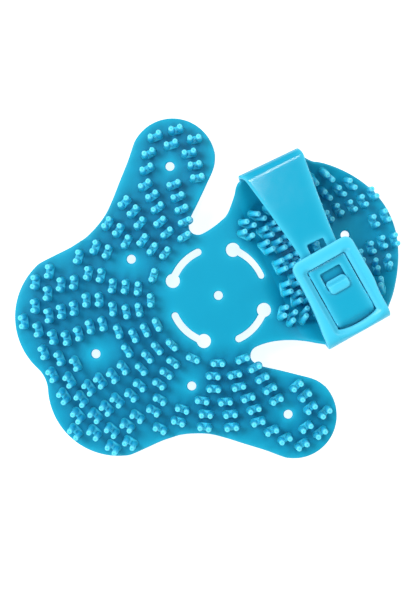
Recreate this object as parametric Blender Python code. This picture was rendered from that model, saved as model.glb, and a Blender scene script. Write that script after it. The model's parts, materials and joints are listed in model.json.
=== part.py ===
"""Palm-shaped silicone grooming glove: bristled pads, a bowed heel and a buckled wrist strap.

Units are metres. The origin is the middle of the glove's footprint, on the surface it stands on.
+Y points to the fingertips and +Z points out of the bristles. The palm, finger and side pads lie
flat. The heel drops from the palm and curls up at both sides, where the strap and the buckle fold
over it. The moulding flexes along straight lines, so each line is a hinge between two sections.
"""

from math import asin, atan2, cos, degrees, hypot, pi, radians, sin, sqrt, tan

import bmesh
import bpy
from mathutils import Matrix, Vector
from mathutils.geometry import delaunay_2d_cdt

MM = 0.001

# Where the palm's middle lies, on the bristled face, and the sheet that every pad is made of.
PALM = Vector((0.0, -0.87 * MM, 15.2 * MM))
SHEET = 2.2 * MM
GAP = 0.3 * MM

# Flex lines, given about the palm's middle. A rounded bead on the moving side turns in the gap.
BEAD = SHEET / 2 + 0.15 * MM
SETBACK = BEAD + GAP
BEAD_INSET = 0.8 * MM
LINE_STEP = 7.0 * MM
FINGER_LINE_Y = 61.5 * MM
HEEL_LINE_Y = -31.0 * MM
HEEL_LINE_LEFT = -41.6 * MM
HEEL_LINE_RIGHT = 45.1 * MM
SIDE_LINE_TOP = Vector((58.6 * MM, 55.5 * MM))
SIDE_LINE_END = Vector((41.2 * MM, -2.6 * MM))

# Bristles: twin pins on rings about the palm, one row for each run of a ring.
PIN_RADIUS = 1.55 * MM
PIN_TAPER = 0.93
PIN_HEIGHT = 8.0 * MM
PIN_PITCH = 4.7 * MM
PIN_ROOT = 1.1 * MM
PIN_TO_LINE = 3.1 * MM
PIN_TO_HOLE = 8.2 * MM
FIRST_RING = 36.6 * MM
RING_STEP = 6.9 * MM
# (ring, first angle from the middle finger, step, number of pairs), mirrored left and right.
PALM_ROWS = [
    (0, 0.0, 21.3, 5),
    (1, 0.0, 15.2, 7),
    (2, 0.0, 15.4, 7),
    (3, 5.7, 12.5, 8),
    (4, 11.7, 11.7, 9),
    (5, 11.7, 11.7, 9),
    (6, 10.2, 10.2, 4),
    (6, 86.0, 8.9, 3),
    (7, 0.0, 9.8, 4),
    (7, 89.4, 8.7, 3),
    (8, 3.9, 7.4, 5),
    (8, 93.7, 7.4, 2),
    (9, 0.0, 7.4, 5),
    (10, 17.9, 1.0, 1),
]
# The same for the heel, with angles from its middle line.
HEEL_ROWS = [
    (0, 0.0, 20.5, 3),
    (1, 0.0, 14.6, 4),
    (2, 0.0, 13.5, 4),
    (3, 0.0, 11.4, 4),
    (4, 0.0, 10.0, 5),
    (5, 9.6, 9.6, 4),
    (6, 10.2, 9.4, 3),
    (7, 10.0, 8.8, 3),
    (8, 8.2, 7.8, 3),
    (9, 0.0, 7.6, 3),
    (10, 0.0, 8.0, 2),
]

# Drain holes and the four hooked slots round the palm.
HOLE_RADIUS = 2.4 * MM
PALM_HOLES = [(0.0, 0.0), (38.0 * MM, 34.1 * MM), (-38.0 * MM, 34.1 * MM)]
FINGER_HOLE = (0.0, 73.4 * MM)
SIDE_HOLE = (74.3 * MM, -6.4 * MM)
HEEL_HOLE = (0.0, -78.6 * MM)
SLOT_RING = 25.9 * MM
SLOT_HALF_WIDTH = 1.9 * MM
SLOT_EYE = 3.8 * MM
SLOT_STARTS = (46.8, 136.8, 226.8, 316.8)
SLOT_SWEEP = 47.0

# Lobes of the outline: two finger lobes with a dip between them, two side lobes, one heel.
FINGER_LOBE = Vector((20.6 * MM, 69.8 * MM))
FINGER_LOBE_RADIUS = 38.2 * MM
FINGER_LOBE_START = -5.0
DIP_CENTRE_Y = 120.85 * MM
DIP_RADIUS = 16.85 * MM
SIDE_LOBE = Vector((76.2 * MM, -8.9 * MM))
SIDE_LOBE_RADIUS = 23.2 * MM
SIDE_LOBE_ARC = (42.0, -112.0)
NOTCH = (39.0 * MM, -6.3 * MM)
NOTCH_RADIUS = 5.1 * MM
NOTCH_ARC = (190.0, 80.0)
HEEL_CENTRE = (-0.6 * MM, -59.8 * MM)
HEEL_RADIUS = 46.4 * MM
HEEL_ARC = (-20.0, -153.0)

# Corners between the lobes. The neck is wider on the strap's side.
WAIST_X = 58.0 * MM
SHOULDER = [(59.3 * MM, 51.0 * MM), (61.6 * MM, 44.5 * MM), (65.6 * MM, 36.6 * MM),
            (68.9 * MM, 32.1 * MM)]
SIDE_NOTCH = [(64.4 * MM, -28.8 * MM), (61.5 * MM, -25.6 * MM), (43.4 * MM, -3.2 * MM)]
NECK_ROOT = (35.6 * MM, -17.3 * MM)
STRAP_NECK_X = 43.6 * MM
STRAP_NECK = [(41.1 * MM, -26.8 * MM), (38.0 * MM, -22.9 * MM)]
BUCKLE_NECK = [(39.9 * MM, -26.2 * MM), (38.3 * MM, -22.7 * MM)]
STRAP_WING = (47.9 * MM, -34.0 * MM)
BUCKLE_WING = (-44.6 * MM, -35.0 * MM)
PALM_GRID = 5.0 * MM
HEEL_GRID = 5.2 * MM

# The heel's bowl: how far its middle drops, how its sides rise, and where the two folds are.
HEEL_DROP = 13.0 * MM
DROP_START_Y = -22.0 * MM
DROP_LENGTH = 30.0 * MM
FOLD_HEIGHT = 9.0 * MM
CURL_LENGTH = 6.6 * MM
CURL_FALL = 12.0 * MM
CURL_FALL_LENGTH = 30.0 * MM
BOWL_FLAT = 16.0 * MM
BOWL_WIDTH = 70.0 * MM
BOWL_REACH = 56.0 * MM
STRAP_EDGE_X = 48.6 * MM
STRAP_EDGE_Y = (-70.4 * MM, -37.6 * MM)
BUCKLE_EDGE_X = 45.6 * MM
BUCKLE_EDGE_Y = (-76.6 * MM, -40.0 * MM)
BUCKLE_SKEW = radians(3.9)
BUCKLE_MIDDLE_Y = -57.9 * MM

# The strap and the buckle. Strap heights are above the palm's bristled face.
STRAP = 2.0 * MM
STRAP_TOP = 16.9 * MM
STRAP_MIDDLE_Y = -54.0 * MM
STRAP_SHOULDER = 1.8 * MM
STRAP_INSET = 0.2 * MM
STRAP_NARROW = 10.4 * MM
STRAP_NARROW_Y = -56.8 * MM
STRAP_FLARE = 6.1 * MM
STRAP_FLARE_X = 47.0 * MM
STRAP_FLARE_POWER = 1.2
STRAP_END_X = -6.6 * MM
STRAP_SKEW = 0.049
STRAP_HOLE = (10.0 * MM, 9.4 * MM)
STRAP_HOLE_X = -1.2 * MM
TIP_HOLE = (10.0 * MM, 11.8 * MM)
TIP_HOLE_U = 29.8 * MM
TIP_HALF_WIDTH = 10.3 * MM
TIP_LEVEL_U = (9.5 * MM, 39.4 * MM)
HOLE_CORNER = 1.0 * MM
STRAP_STEPS = 8
FRAME_TOP = 19.3 * MM
FRAME_END = 46.3 * MM
FRAME_MIDDLE_V = -1.9 * MM
FRAME_HALF_WIDTH = 17.4 * MM
FRAME_CORNER = 4.5 * MM
FRAME_SHOULDER_U = (18.0 * MM, 24.0 * MM)
WINDOW_START = 2.4 * MM
WINDOW_END = 39.3 * MM
WINDOW_HALF_WIDTH = 11.2 * MM
WINDOW_BOW = 22.0 * MM
POCKET = 2.6 * MM
POCKET_END = 8.0 * MM
TUNNEL_ROOM = 0.4 * MM
BRIDGE = 2.0 * MM
HOOK_U = 25.9 * MM
HOOK_HEAD = (6.3 * MM, 11.4 * MM, 1.8 * MM)
HOOK_GAP = 0.35 * MM
HOOK_POST_U = 27.2 * MM
HOOK_POST = (3.8 * MM, 9.2 * MM)
HOOK_FLOOR_U = (18.0 * MM, 35.0 * MM)
HOOK_FLOOR_HALF_WIDTH = 15.4 * MM
HOOK_FLOOR = 2.2 * MM

# How far solids that are joined or cut run past each other.
OVERLAP = 1.0 * MM


# ---------------------------------------------------------------- small helpers


def arc(centre, radius, start, end, steps):
    """Points on an arc, both ends included. Angles are in degrees from +X."""
    points = []
    for i in range(steps + 1):
        angle = radians(start + (end - start) * i / steps)
        points.append((centre[0] + radius * cos(angle), centre[1] + radius * sin(angle)))
    return points


def circle(centre, radius, steps):
    return arc(centre, radius, 0.0, 360.0, steps)[:-1]


def mirrored(points):
    """The same points on the other side of the Y axis, in reverse order."""
    return [(-x, y) for x, y in reversed(points)]


def smooth(t):
    """Eases from 0 to 1."""
    t = min(max(t, 0.0), 1.0)
    return t * t * (3.0 - 2.0 * t)


def inside(point, loop):
    """Even-odd test of a point against a closed loop."""
    crossings = 0
    for (x0, y0), (x1, y1) in zip(loop, loop[1:] + loop[:1]):
        if (y0 > point[1]) != (y1 > point[1]):
            if point[0] < x0 + (point[1] - y0) * (x1 - x0) / (y1 - y0):
                crossings += 1
    return crossings % 2 == 1


def distance_to_line(point, start, end):
    """Distance from a point to the endless line through two others."""
    along = (Vector(end) - Vector(start)).normalized()
    across = Vector(point) - Vector(start)
    return abs(along.x * across.y - along.y * across.x)


def material(name, color, roughness):
    mat = bpy.data.materials.new(name)
    mat.use_nodes = True
    shader = mat.node_tree.nodes["Principled BSDF"]
    shader.inputs["Base Color"].default_value = (*color, 1.0)
    shader.inputs["Roughness"].default_value = roughness
    shader.inputs["Metallic"].default_value = 0.0
    return mat


def new_object(name, bm, mat, parent=None):
    """Turns a bmesh into an object, with its faces out and its round faces smooth."""
    bmesh.ops.recalc_face_normals(bm, faces=bm.faces)
    mesh = bpy.data.meshes.new(name)
    bm.to_mesh(mesh)
    bm.free()
    mesh.materials.append(mat)
    mesh.shade_smooth()
    mesh.set_sharp_from_angle(angle=radians(35))
    obj = bpy.data.objects.new(name, mesh)
    bpy.context.scene.collection.objects.link(obj)
    obj.parent = parent
    return obj


def combine(obj, tool, operation):
    """Applies a Boolean with another object, which is then removed."""
    modifier = obj.modifiers.new(operation.lower(), "BOOLEAN")
    modifier.operation = operation
    modifier.solver = "EXACT"
    modifier.object = tool
    bpy.context.view_layer.update()
    graph = bpy.context.evaluated_depsgraph_get()
    mesh = bpy.data.meshes.new_from_object(obj.evaluated_get(graph))
    obj.modifiers.clear()
    obj.data = mesh
    bpy.data.objects.remove(tool)


# ---------------------------------------------------------------- flat and curved sheets


def triangulate(outline, holes, inner):
    """Triangles that fill an outline with holes. Returns the points and the triangles."""
    points = []
    edges = []
    for loop in [outline] + holes:
        first = len(points)
        points.extend(Vector(p) for p in loop)
        edges.extend((first + i, first + (i + 1) % len(loop)) for i in range(len(loop)))
    points.extend(inner)
    coords, _, faces, _, _, _ = delaunay_2d_cdt(points, edges, [], 0, 1e-7)
    kept = []
    for face in faces:
        middle = sum((coords[i] for i in face), Vector((0.0, 0.0))) / 3.0
        if inside(middle, outline) and not any(inside(middle, hole) for hole in holes):
            kept.append(list(face))
    return coords, kept


def inner_grid(outline, holes, spacing, top):
    """Grid points below a height in plan, inside an outline and clear of every edge."""
    left = min(p[0] for p in outline)
    right = max(p[0] for p in outline)
    low = min(p[1] for p in outline)
    margin = 0.45 * spacing
    points = []
    for i in range(int((right - left) / spacing)):
        for j in range(int((top - low) / spacing)):
            point = (left + (i + 0.5) * spacing, low + (j + 0.5) * spacing)
            if not inside(point, outline):
                continue
            near = any(hypot(point[0] - x, point[1] - y) < margin
                       for loop in [outline] + holes for x, y in loop)
            if not near and not any(inside(point, hole) for hole in holes):
                points.append(Vector(point))
    return points


def normal_of(x, y):
    """Normal of the bristled face."""
    step = 0.05 * MM
    slope_x = (face(x + step, y) - face(x - step, y)) / (2.0 * step)
    slope_y = (face(x, y + step) - face(x, y - step)) / (2.0 * step)
    return Vector((-slope_x, -slope_y, 1.0)).normalized()


def sheet(name, outline, holes, mat, inner=()):
    """A closed sheet inside an outline. Its curved stretches need inner points."""
    coords, faces = triangulate(outline, holes, inner)
    bm = bmesh.new()
    tops = []
    backs = []
    for point in coords:
        top = PALM + Vector((point.x, point.y, face(point.x, point.y)))
        tops.append(bm.verts.new(top))
        backs.append(bm.verts.new(top - SHEET * normal_of(point.x, point.y)))
    borders = {}
    for a, b, c in faces:
        bm.faces.new((tops[a], tops[b], tops[c]))
        bm.faces.new((backs[c], backs[b], backs[a]))
        for edge in ((a, b), (b, c), (c, a)):
            borders[edge] = edge[::-1] not in borders
            if not borders[edge]:
                borders[edge[::-1]] = False
    for (a, b), is_border in borders.items():
        if is_border:
            bm.faces.new((tops[b], tops[a], backs[a], backs[b]))
    return new_object(name, bm, mat)


def prism(name, outline, low, high, mat, parent=None):
    """An outline extruded upwards."""
    bm = bmesh.new()
    bottom = [bm.verts.new((x, y, low)) for x, y in outline]
    top = [bm.verts.new((x, y, high)) for x, y in outline]
    bm.faces.new(reversed(bottom))
    bm.faces.new(top)
    for i in range(len(outline)):
        j = (i + 1) % len(outline)
        bm.faces.new((bottom[i], bottom[j], top[j], top[i]))
    return new_object(name, bm, mat, parent)


def bead(start, end, mat, parent=None):
    """The rounded edge of a moving section, on its flex line."""
    bm = bmesh.new()
    length = (end - start).length
    turn = (end - start).to_track_quat("Z", "Y").to_matrix().to_4x4()
    place = Matrix.Translation((start + end) / 2.0) @ turn @ Matrix.Rotation(radians(15), 4, "Z")
    bmesh.ops.create_cone(bm, cap_ends=True, segments=12, radius1=BEAD, radius2=BEAD,
                          depth=length, matrix=place)
    return new_object("bead", bm, mat, parent)


# ---------------------------------------------------------------- the heel's bowl


def centre_height(y):
    """Height of the heel's middle line, which drops away from the flat palm."""
    return -HEEL_DROP * smooth((DROP_START_Y - y) / DROP_LENGTH)


def edge_height(y):
    """Height along the bowl's two sides: up to the folds, level along them, then down."""
    rise = smooth((HEEL_LINE_Y - y) / CURL_LENGTH)
    fall = smooth((min(STRAP_EDGE_Y[0], BUCKLE_EDGE_Y[0]) - y) / CURL_FALL_LENGTH)
    return centre_height(y) * (1.0 - rise) + FOLD_HEIGHT * rise - CURL_FALL * fall


def edge_x(y, side):
    """How far out the fold is on the strap's side (+1) or the buckle's side (-1)."""
    if side > 0:
        return STRAP_EDGE_X
    return BUCKLE_EDGE_X + (y - BUCKLE_MIDDLE_Y) * tan(BUCKLE_SKEW)


def bowl_share(x, y):
    """0 across the heel's flat middle and 1 at its folds, on part of an ellipse."""
    reach = abs(x) * STRAP_EDGE_X / edge_x(y, 1 if x > 0 else -1)
    turned = max(reach - BOWL_FLAT, 0.0) / (BOWL_WIDTH - BOWL_FLAT)
    full = (STRAP_EDGE_X - BOWL_FLAT) / (BOWL_WIDTH - BOWL_FLAT)
    return (1.0 - sqrt(1.0 - turned ** 2)) / (1.0 - sqrt(1.0 - full ** 2))


def face(x, y):
    """Height of the bristled face: flat pads, then the heel's bowl."""
    if abs(x) > BOWL_REACH:
        return 0.0
    low = centre_height(y)
    return low + (edge_height(y) - low) * bowl_share(x, y)


def fold_slope(side):
    """Angle at which the bowl meets its fold."""
    y = STRAP_MIDDLE_Y if side > 0 else BUCKLE_MIDDLE_Y
    normal = normal_of(side * edge_x(y, side), y)
    return atan2(hypot(normal.x, normal.y), normal.z)


def fold_axis(side):
    """Middle of a fold's flex line, in world space."""
    y = STRAP_MIDDLE_Y if side > 0 else BUCKLE_MIDDLE_Y
    slope = fold_slope(side)
    out = edge_x(y, side) + SHEET / 2 * sin(slope) + SETBACK * cos(slope)
    up = FOLD_HEIGHT - SHEET / 2 * cos(slope) + SETBACK * sin(slope)
    return PALM + Vector((side * out, y, up))


# ---------------------------------------------------------------- bristles


def palm_pair(ring, angle):
    """Place of a pair in front of the palm or beside it, and its ring's direction."""
    radius = FIRST_RING + ring * RING_STEP
    return radius * sin(angle), radius * cos(angle), Vector((cos(angle), -sin(angle), 0.0))


def heel_reach(length):
    """Distance from the palm, seen from above, of a ring that keeps its length along the drop."""
    step = 0.2 * MM
    y = 0.0
    travelled = 0.0
    while travelled < length:
        fall = centre_height(-y - step) - centre_height(-y)
        travelled += hypot(step, fall)
        y += step
    return y


def heel_pair(ring, angle):
    """The same behind the palm."""
    radius = heel_reach(FIRST_RING + ring * RING_STEP)
    return radius * sin(angle), -radius * cos(angle), Vector((cos(angle), sin(angle), 0.0))


def pair_places(rows, place):
    """Every pair of a set of rows, on both sides of the middle line."""
    for ring, first, step, count in rows:
        for i in range(count):
            angle = radians(first + i * step)
            yield place(ring, angle)
            if angle:
                yield place(ring, -angle)


def section_of(x, y):
    """Name of the section that a point on the glove belongs to."""
    if y > FINGER_LINE_Y:
        return "finger_pad"
    if y < HEEL_LINE_Y:
        return "heel_pad"
    line = SIDE_LINE_TOP - SIDE_LINE_END
    offset = Vector((abs(x), y)) - SIDE_LINE_END
    if line.x * offset.y - line.y * offset.x < 0.0 and y < SIDE_LINE_TOP.y:
        return "side_pad_right" if x > 0 else "side_pad_left"
    return "palm_web"


def near_line(x, y):
    """Whether a pin would stand on a flex line."""
    across = min(abs(y - FINGER_LINE_Y), abs(y - HEEL_LINE_Y))
    side = distance_to_line((abs(x), y), SIDE_LINE_END, SIDE_LINE_TOP)
    return across < PIN_TO_LINE or (side < PIN_TO_LINE and y < SIDE_LINE_TOP.y)


def near_hole(point):
    holes = PALM_HOLES + [FINGER_HOLE, SIDE_HOLE, (-SIDE_HOLE[0], SIDE_HOLE[1]), HEEL_HOLE]
    return any(hypot(point.x - x, point.y - y) < PIN_TO_HOLE for x, y in holes)


def all_pins():
    """Foot and direction of every pin, sorted by section. The pins stand square to the sheet."""
    pins = {}
    for rows, place in ((PALM_ROWS, palm_pair), (HEEL_ROWS, heel_pair)):
        for x, y, ring_way in pair_places(rows, place):
            middle = Vector((x, y, face(x, y)))
            normal = normal_of(x, y)
            across = (ring_way - ring_way.dot(normal) * normal).normalized()
            feet = [middle + shift * PIN_PITCH / 2 * across for shift in (-1, 1)]
            names = {section_of(foot.x, foot.y) for foot in feet}
            on_line = any(near_line(foot.x, foot.y) for foot in feet)
            if len(names) == 1 and not on_line and not near_hole(middle):
                pins.setdefault(names.pop(), []).extend((foot, normal) for foot in feet)
    return pins


def add_pins(obj, pins, mat):
    """Joins six-sided pins to a pad."""
    bm = bmesh.new()
    for foot, normal in pins:
        middle = PALM + foot + normal * (PIN_HEIGHT - PIN_ROOT) / 2.0
        turn = normal.to_track_quat("Z", "Y").to_matrix().to_4x4()
        bmesh.ops.create_cone(bm, cap_ends=True, segments=6, radius1=PIN_RADIUS,
                              radius2=PIN_TAPER * PIN_RADIUS, depth=PIN_HEIGHT + PIN_ROOT,
                              matrix=Matrix.Translation(middle) @ turn)
    combine(obj, new_object("pins", bm, mat), "UNION")


# ---------------------------------------------------------------- pads


def hooked_slot(start):
    """An arc slot that ends in a round eye, as one closed loop. It runs clockwise from its eye."""
    inner = SLOT_RING - SLOT_HALF_WIDTH
    outer = SLOT_RING + SLOT_HALF_WIDTH
    mouth = degrees(sqrt(SLOT_EYE ** 2 - SLOT_HALF_WIDTH ** 2) / SLOT_RING)
    eye = (SLOT_RING * cos(radians(start)), SLOT_RING * sin(radians(start)))
    opening = degrees(asin(SLOT_HALF_WIDTH / SLOT_EYE))
    end = start - SLOT_SWEEP
    tip = (SLOT_RING * cos(radians(end)), SLOT_RING * sin(radians(end)))
    loop = arc(eye, SLOT_EYE, start - 90.0 + opening, start + 270.0 - opening, 10)
    loop += arc((0.0, 0.0), inner, start - mouth, end, 5)[1:]
    loop += arc(tip, SLOT_HALF_WIDTH, end + 180.0, end + 360.0, 4)[1:-1]
    loop += arc((0.0, 0.0), outer, end, start - mouth, 5)[:-1]
    return loop


def palm_outline():
    """The web between the flex lines, anticlockwise from the heel's line."""
    inward = (SIDE_LINE_TOP - SIDE_LINE_END).normalized()
    back = Vector((-inward.y, inward.x)) * SETBACK
    line = [(i * LINE_STEP, HEEL_LINE_Y + SETBACK) for i in range(-5, 6)]
    strap_neck = [(STRAP_NECK_X, HEEL_LINE_Y + SETBACK)] + STRAP_NECK
    buckle_neck = [(-HEEL_LINE_LEFT, HEEL_LINE_Y + SETBACK)] + BUCKLE_NECK
    side = [NECK_ROOT] + arc(NOTCH, NOTCH_RADIUS, *NOTCH_ARC, 5)
    side += [tuple(SIDE_LINE_END + back + inward * BEAD_INSET), tuple(SIDE_LINE_TOP + back)]
    side += [(WAIST_X, FINGER_LINE_Y - SETBACK)]
    return line + strap_neck + side + mirrored(buckle_neck + side)


def finger_outline():
    """Two round lobes with a shallow dip between them."""
    lobe_end = degrees(atan2(DIP_CENTRE_Y - FINGER_LOBE.y, -FINGER_LOBE.x))
    right = [(WAIST_X, FINGER_LINE_Y)]
    right += arc(FINGER_LOBE, FINGER_LOBE_RADIUS, FINGER_LOBE_START, lobe_end, 14)
    right += arc((0.0, DIP_CENTRE_Y), DIP_RADIUS, lobe_end - 180.0, -90.0, 2)[1:-1]
    return right + [(0.0, DIP_CENTRE_Y - DIP_RADIUS)] + mirrored(right)


def side_outline():
    """The right side pad: a round lobe on a tapering shoulder."""
    lobe = arc(SIDE_LOBE, SIDE_LOBE_RADIUS, *SIDE_LOBE_ARC, 14)
    loop = [tuple(SIDE_LINE_TOP)] + SHOULDER + lobe + SIDE_NOTCH + [tuple(SIDE_LINE_END)]
    return loop[::-1]


def heel_outline():
    """The round heel, cut straight along its flex line and its two folds."""
    shares = [i / 6 for i in range(7)]
    right = [(HEEL_LINE_RIGHT, HEEL_LINE_Y), STRAP_WING]
    right += [(STRAP_EDGE_X, STRAP_EDGE_Y[1] + t * (STRAP_EDGE_Y[0] - STRAP_EDGE_Y[1]))
              for t in shares]
    left_y = [BUCKLE_EDGE_Y[1] + t * (BUCKLE_EDGE_Y[0] - BUCKLE_EDGE_Y[1]) for t in shares]
    left = [(HEEL_LINE_LEFT, HEEL_LINE_Y), BUCKLE_WING]
    left += [(-edge_x(y, -1), y) for y in left_y]
    rim = arc(HEEL_CENTRE, HEEL_RADIUS, *HEEL_ARC, 19)
    line = [(i * LINE_STEP, HEEL_LINE_Y) for i in range(-5, 6)]
    return (line + right + rim + left[::-1])[::-1]


def make_pads(mats, pins):
    z = PALM.z - SHEET / 2
    slots = [hooked_slot(angle) for angle in SLOT_STARTS]
    holes = [circle(place, HOLE_RADIUS, 12) for place in PALM_HOLES]
    curved = inner_grid(palm_outline(), slots + holes, PALM_GRID, DROP_START_Y + LINE_STEP / 2)
    palm = sheet("palm_web", palm_outline(), slots + holes, mats["pad"], curved)
    add_pins(palm, pins["palm_web"], mats["pad"])

    finger_hole = circle(FINGER_HOLE, HOLE_RADIUS, 12)
    fingers = sheet("finger_pad", finger_outline(), [finger_hole], mats["pad"])
    end = Vector((WAIST_X - BEAD_INSET, PALM.y + FINGER_LINE_Y, z))
    combine(fingers, bead(Vector((-end.x, end.y, z)), end, mats["pad"]), "UNION")
    add_pins(fingers, pins["finger_pad"], mats["pad"])
    set_origin(fingers, Vector((0.0, end.y, z)))

    for name, side in (("side_pad_right", 1), ("side_pad_left", -1)):
        outline = side_outline() if side > 0 else mirrored(side_outline())
        hole = circle((side * SIDE_HOLE[0], SIDE_HOLE[1]), HOLE_RADIUS, 12)
        pad = sheet(name, outline, [hole], mats["pad"])
        top = Vector((side * SIDE_LINE_TOP.x, PALM.y + SIDE_LINE_TOP.y, z))
        low = Vector((side * SIDE_LINE_END.x, PALM.y + SIDE_LINE_END.y, z))
        inset = (top - low).normalized() * BEAD_INSET
        combine(pad, bead(low + inset, top - inset, mats["pad"]), "UNION")
        add_pins(pad, pins[name], mats["pad"])
        set_origin(pad, (top + low) / 2.0)


def heel_axis():
    """Middle of the heel's flex line, inside the sheet."""
    top = Vector((0.0, HEEL_LINE_Y, face(0.0, HEEL_LINE_Y)))
    return PALM + top - SHEET / 2 * normal_of(0.0, HEEL_LINE_Y)


def make_heel(mats, pins):
    hole = circle(HEEL_HOLE, HOLE_RADIUS, 12)
    inner = inner_grid(heel_outline(), [hole], HEEL_GRID, HEEL_LINE_Y)
    heel = sheet("heel_pad", heel_outline(), [hole], mats["pad"], inner)
    axis = heel_axis()
    left = axis + Vector((HEEL_LINE_LEFT + BEAD_INSET, 0.0, 0.0))
    right = axis + Vector((HEEL_LINE_RIGHT - BEAD_INSET, 0.0, 0.0))
    combine(heel, bead(left, right, mats["pad"]), "UNION")
    add_pins(heel, pins["heel_pad"], mats["pad"])
    set_origin(heel, axis)


def set_origin(obj, place):
    """Puts an object's origin on its flex line and leaves its shape where it is."""
    obj.data.transform(Matrix.Translation(-place))
    obj.location = place


# ---------------------------------------------------------------- strap and buckle


def ribbon(name, stations, thickness, mat, parent):
    """A closed band. A station is (x, z, direction of its outer face, low y, high y)."""
    bm = bmesh.new()
    rings = []
    for x, z, angle, low, high in stations:
        out = Vector((cos(angle), 0.0, sin(angle))) * thickness / 2.0
        middle = Vector((x, 0.0, z))
        corners = [(middle + out, low), (middle + out, high), (middle - out, high),
                   (middle - out, low)]
        rings.append([bm.verts.new((p.x, y, p.z)) for p, y in corners])
    for first, second in zip(rings, rings[1:]):
        for i in range(4):
            j = (i + 1) % 4
            bm.faces.new((first[i], first[j], second[j], second[i]))
    bm.faces.new(rings[0])
    bm.faces.new(rings[-1][::-1])
    return new_object(name, bm, mat, parent)


def fold_stations(side, radius, low, high, steps=7):
    """The fold from the flex line, over the top, to the start of the level band."""
    slope = fold_slope(side)
    centre = (-radius * sin(slope), radius * cos(slope))
    start = slope - pi / 2.0
    stations = []
    for i in range(steps + 1):
        share = i / steps
        angle = start + (pi / 2.0 - start) * share
        x = side * (centre[0] + radius * cos(angle))
        z = centre[1] + radius * sin(angle)
        facing = angle if side > 0 else pi - angle
        stations.append((x, z, facing, low(share), high(share)))
    return stations


def strap_half_width(x):
    """Half the strap's width at a distance x to the right of the heel's middle."""
    return STRAP_NARROW + STRAP_FLARE * (max(x, 0.0) / STRAP_FLARE_X) ** STRAP_FLARE_POWER


def strap_middle(x):
    """The strap's middle line, which runs slightly askew to the buckle."""
    return STRAP_NARROW_Y + STRAP_SKEW * x


def make_strap(mats):
    """The strap from its flex line on the heel to its cut under the buckle's bar."""
    axis = fold_axis(1)
    pivot = bpy.data.objects.new("strap_pivot", None)
    pivot.location = axis
    bpy.context.scene.collection.objects.link(pivot)
    rise = STRAP_TOP - STRAP / 2 - (axis.z - PALM.z)
    radius = rise / (1.0 + cos(fold_slope(1)))
    half = (STRAP_EDGE_Y[1] - STRAP_EDGE_Y[0]) / 2.0 - STRAP_INSET
    stations = fold_stations(1, radius, lambda t: -half,
                             lambda t: half + STRAP_SHOULDER * smooth(3.0 * t))
    start = stations[-1][0] + axis.x
    level = stations[-1][1]
    for i in range(1, STRAP_STEPS + 1):
        x = start + (STRAP_END_X - start) * i / STRAP_STEPS
        width = strap_half_width(x)
        middle = strap_middle(x) - STRAP_MIDDLE_Y
        stations.append((x - axis.x, level, pi / 2.0, middle - width, middle + width))
    strap = ribbon("wrist_strap", stations, STRAP, mats["strap"], pivot)
    end = Vector((0.0, half - BEAD_INSET, 0.0))
    combine(strap, bead(-end, end, mats["strap"], pivot), "UNION")
    hole_y = strap_middle(0.0) - STRAP_MIDDLE_Y
    cut_hole(strap, STRAP_HOLE_X - axis.x, hole_y, STRAP_HOLE, level, mats["strap"], pivot)


def cut_hole(obj, x, y, size, z, mat, parent):
    """A rectangular hole with small round corners, right through a band."""
    outline = rounded_rectangle(x, y, size[0] / 2, size[1] / 2, HOLE_CORNER)
    combine(obj, prism("cutter", outline, z - 2 * STRAP, z + 2 * STRAP, mat, parent), "DIFFERENCE")


def rounded_rectangle(x, y, half_x, half_y, corner):
    loop = []
    for sign_x, sign_y, start in ((1, 1, 0), (-1, 1, 90), (-1, -1, 180), (1, -1, 270)):
        centre = (x + sign_x * (half_x - corner), y + sign_y * (half_y - corner))
        loop += arc(centre, corner, start, start + 90, 3)
    return loop


def frame_outline(start):
    """The buckle's outer edge, in its own axes: u away from the fold, v along it."""
    low = FRAME_MIDDLE_V - FRAME_HALF_WIDTH
    high = FRAME_MIDDLE_V + FRAME_HALF_WIDTH
    half = (BUCKLE_EDGE_Y[1] - BUCKLE_EDGE_Y[0]) / 2.0
    corner_u = FRAME_END - FRAME_CORNER
    loop = [(start, -half), (FRAME_SHOULDER_U[0], low)]
    loop += arc((corner_u, low + FRAME_CORNER), FRAME_CORNER, -90.0, 0.0, 4)
    loop += arc((corner_u, high - FRAME_CORNER), FRAME_CORNER, 0.0, 90.0, 4)
    return loop + [(FRAME_SHOULDER_U[1], high), (start, half)]


def window_outline():
    """The buckle's window: straight on three sides, bowed towards the fold on the fourth."""
    low = FRAME_MIDDLE_V - WINDOW_HALF_WIDTH
    high = FRAME_MIDDLE_V + WINDOW_HALF_WIDTH
    reach = degrees(asin(WINDOW_HALF_WIDTH / WINDOW_BOW))
    centre = (WINDOW_START + WINDOW_BOW, FRAME_MIDDLE_V)
    loop = [(WINDOW_END, low), (WINDOW_END, high)]
    return loop + arc(centre, WINDOW_BOW, 180.0 - reach, 180.0 + reach, 6)


def rectangle(low_u, high_u, half_v):
    """A rectangle in the buckle's own axes, about the frame's middle line."""
    low = FRAME_MIDDLE_V - half_v
    high = FRAME_MIDDLE_V + half_v
    return [(low_u, low), (high_u, low), (high_u, high), (low_u, high)]


def make_buckle(mats):
    axis = fold_axis(-1)
    pivot = bpy.data.objects.new("buckle_pivot", None)
    pivot.location = axis
    pivot.rotation_euler.z = BUCKLE_SKEW
    bpy.context.scene.collection.objects.link(pivot)
    base = axis.z - PALM.z
    make_frame(mats["buckle"], pivot, base)
    make_strap_tip(mats["strap"], pivot, base)
    make_hook(mats["buckle"], pivot, base)


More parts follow.
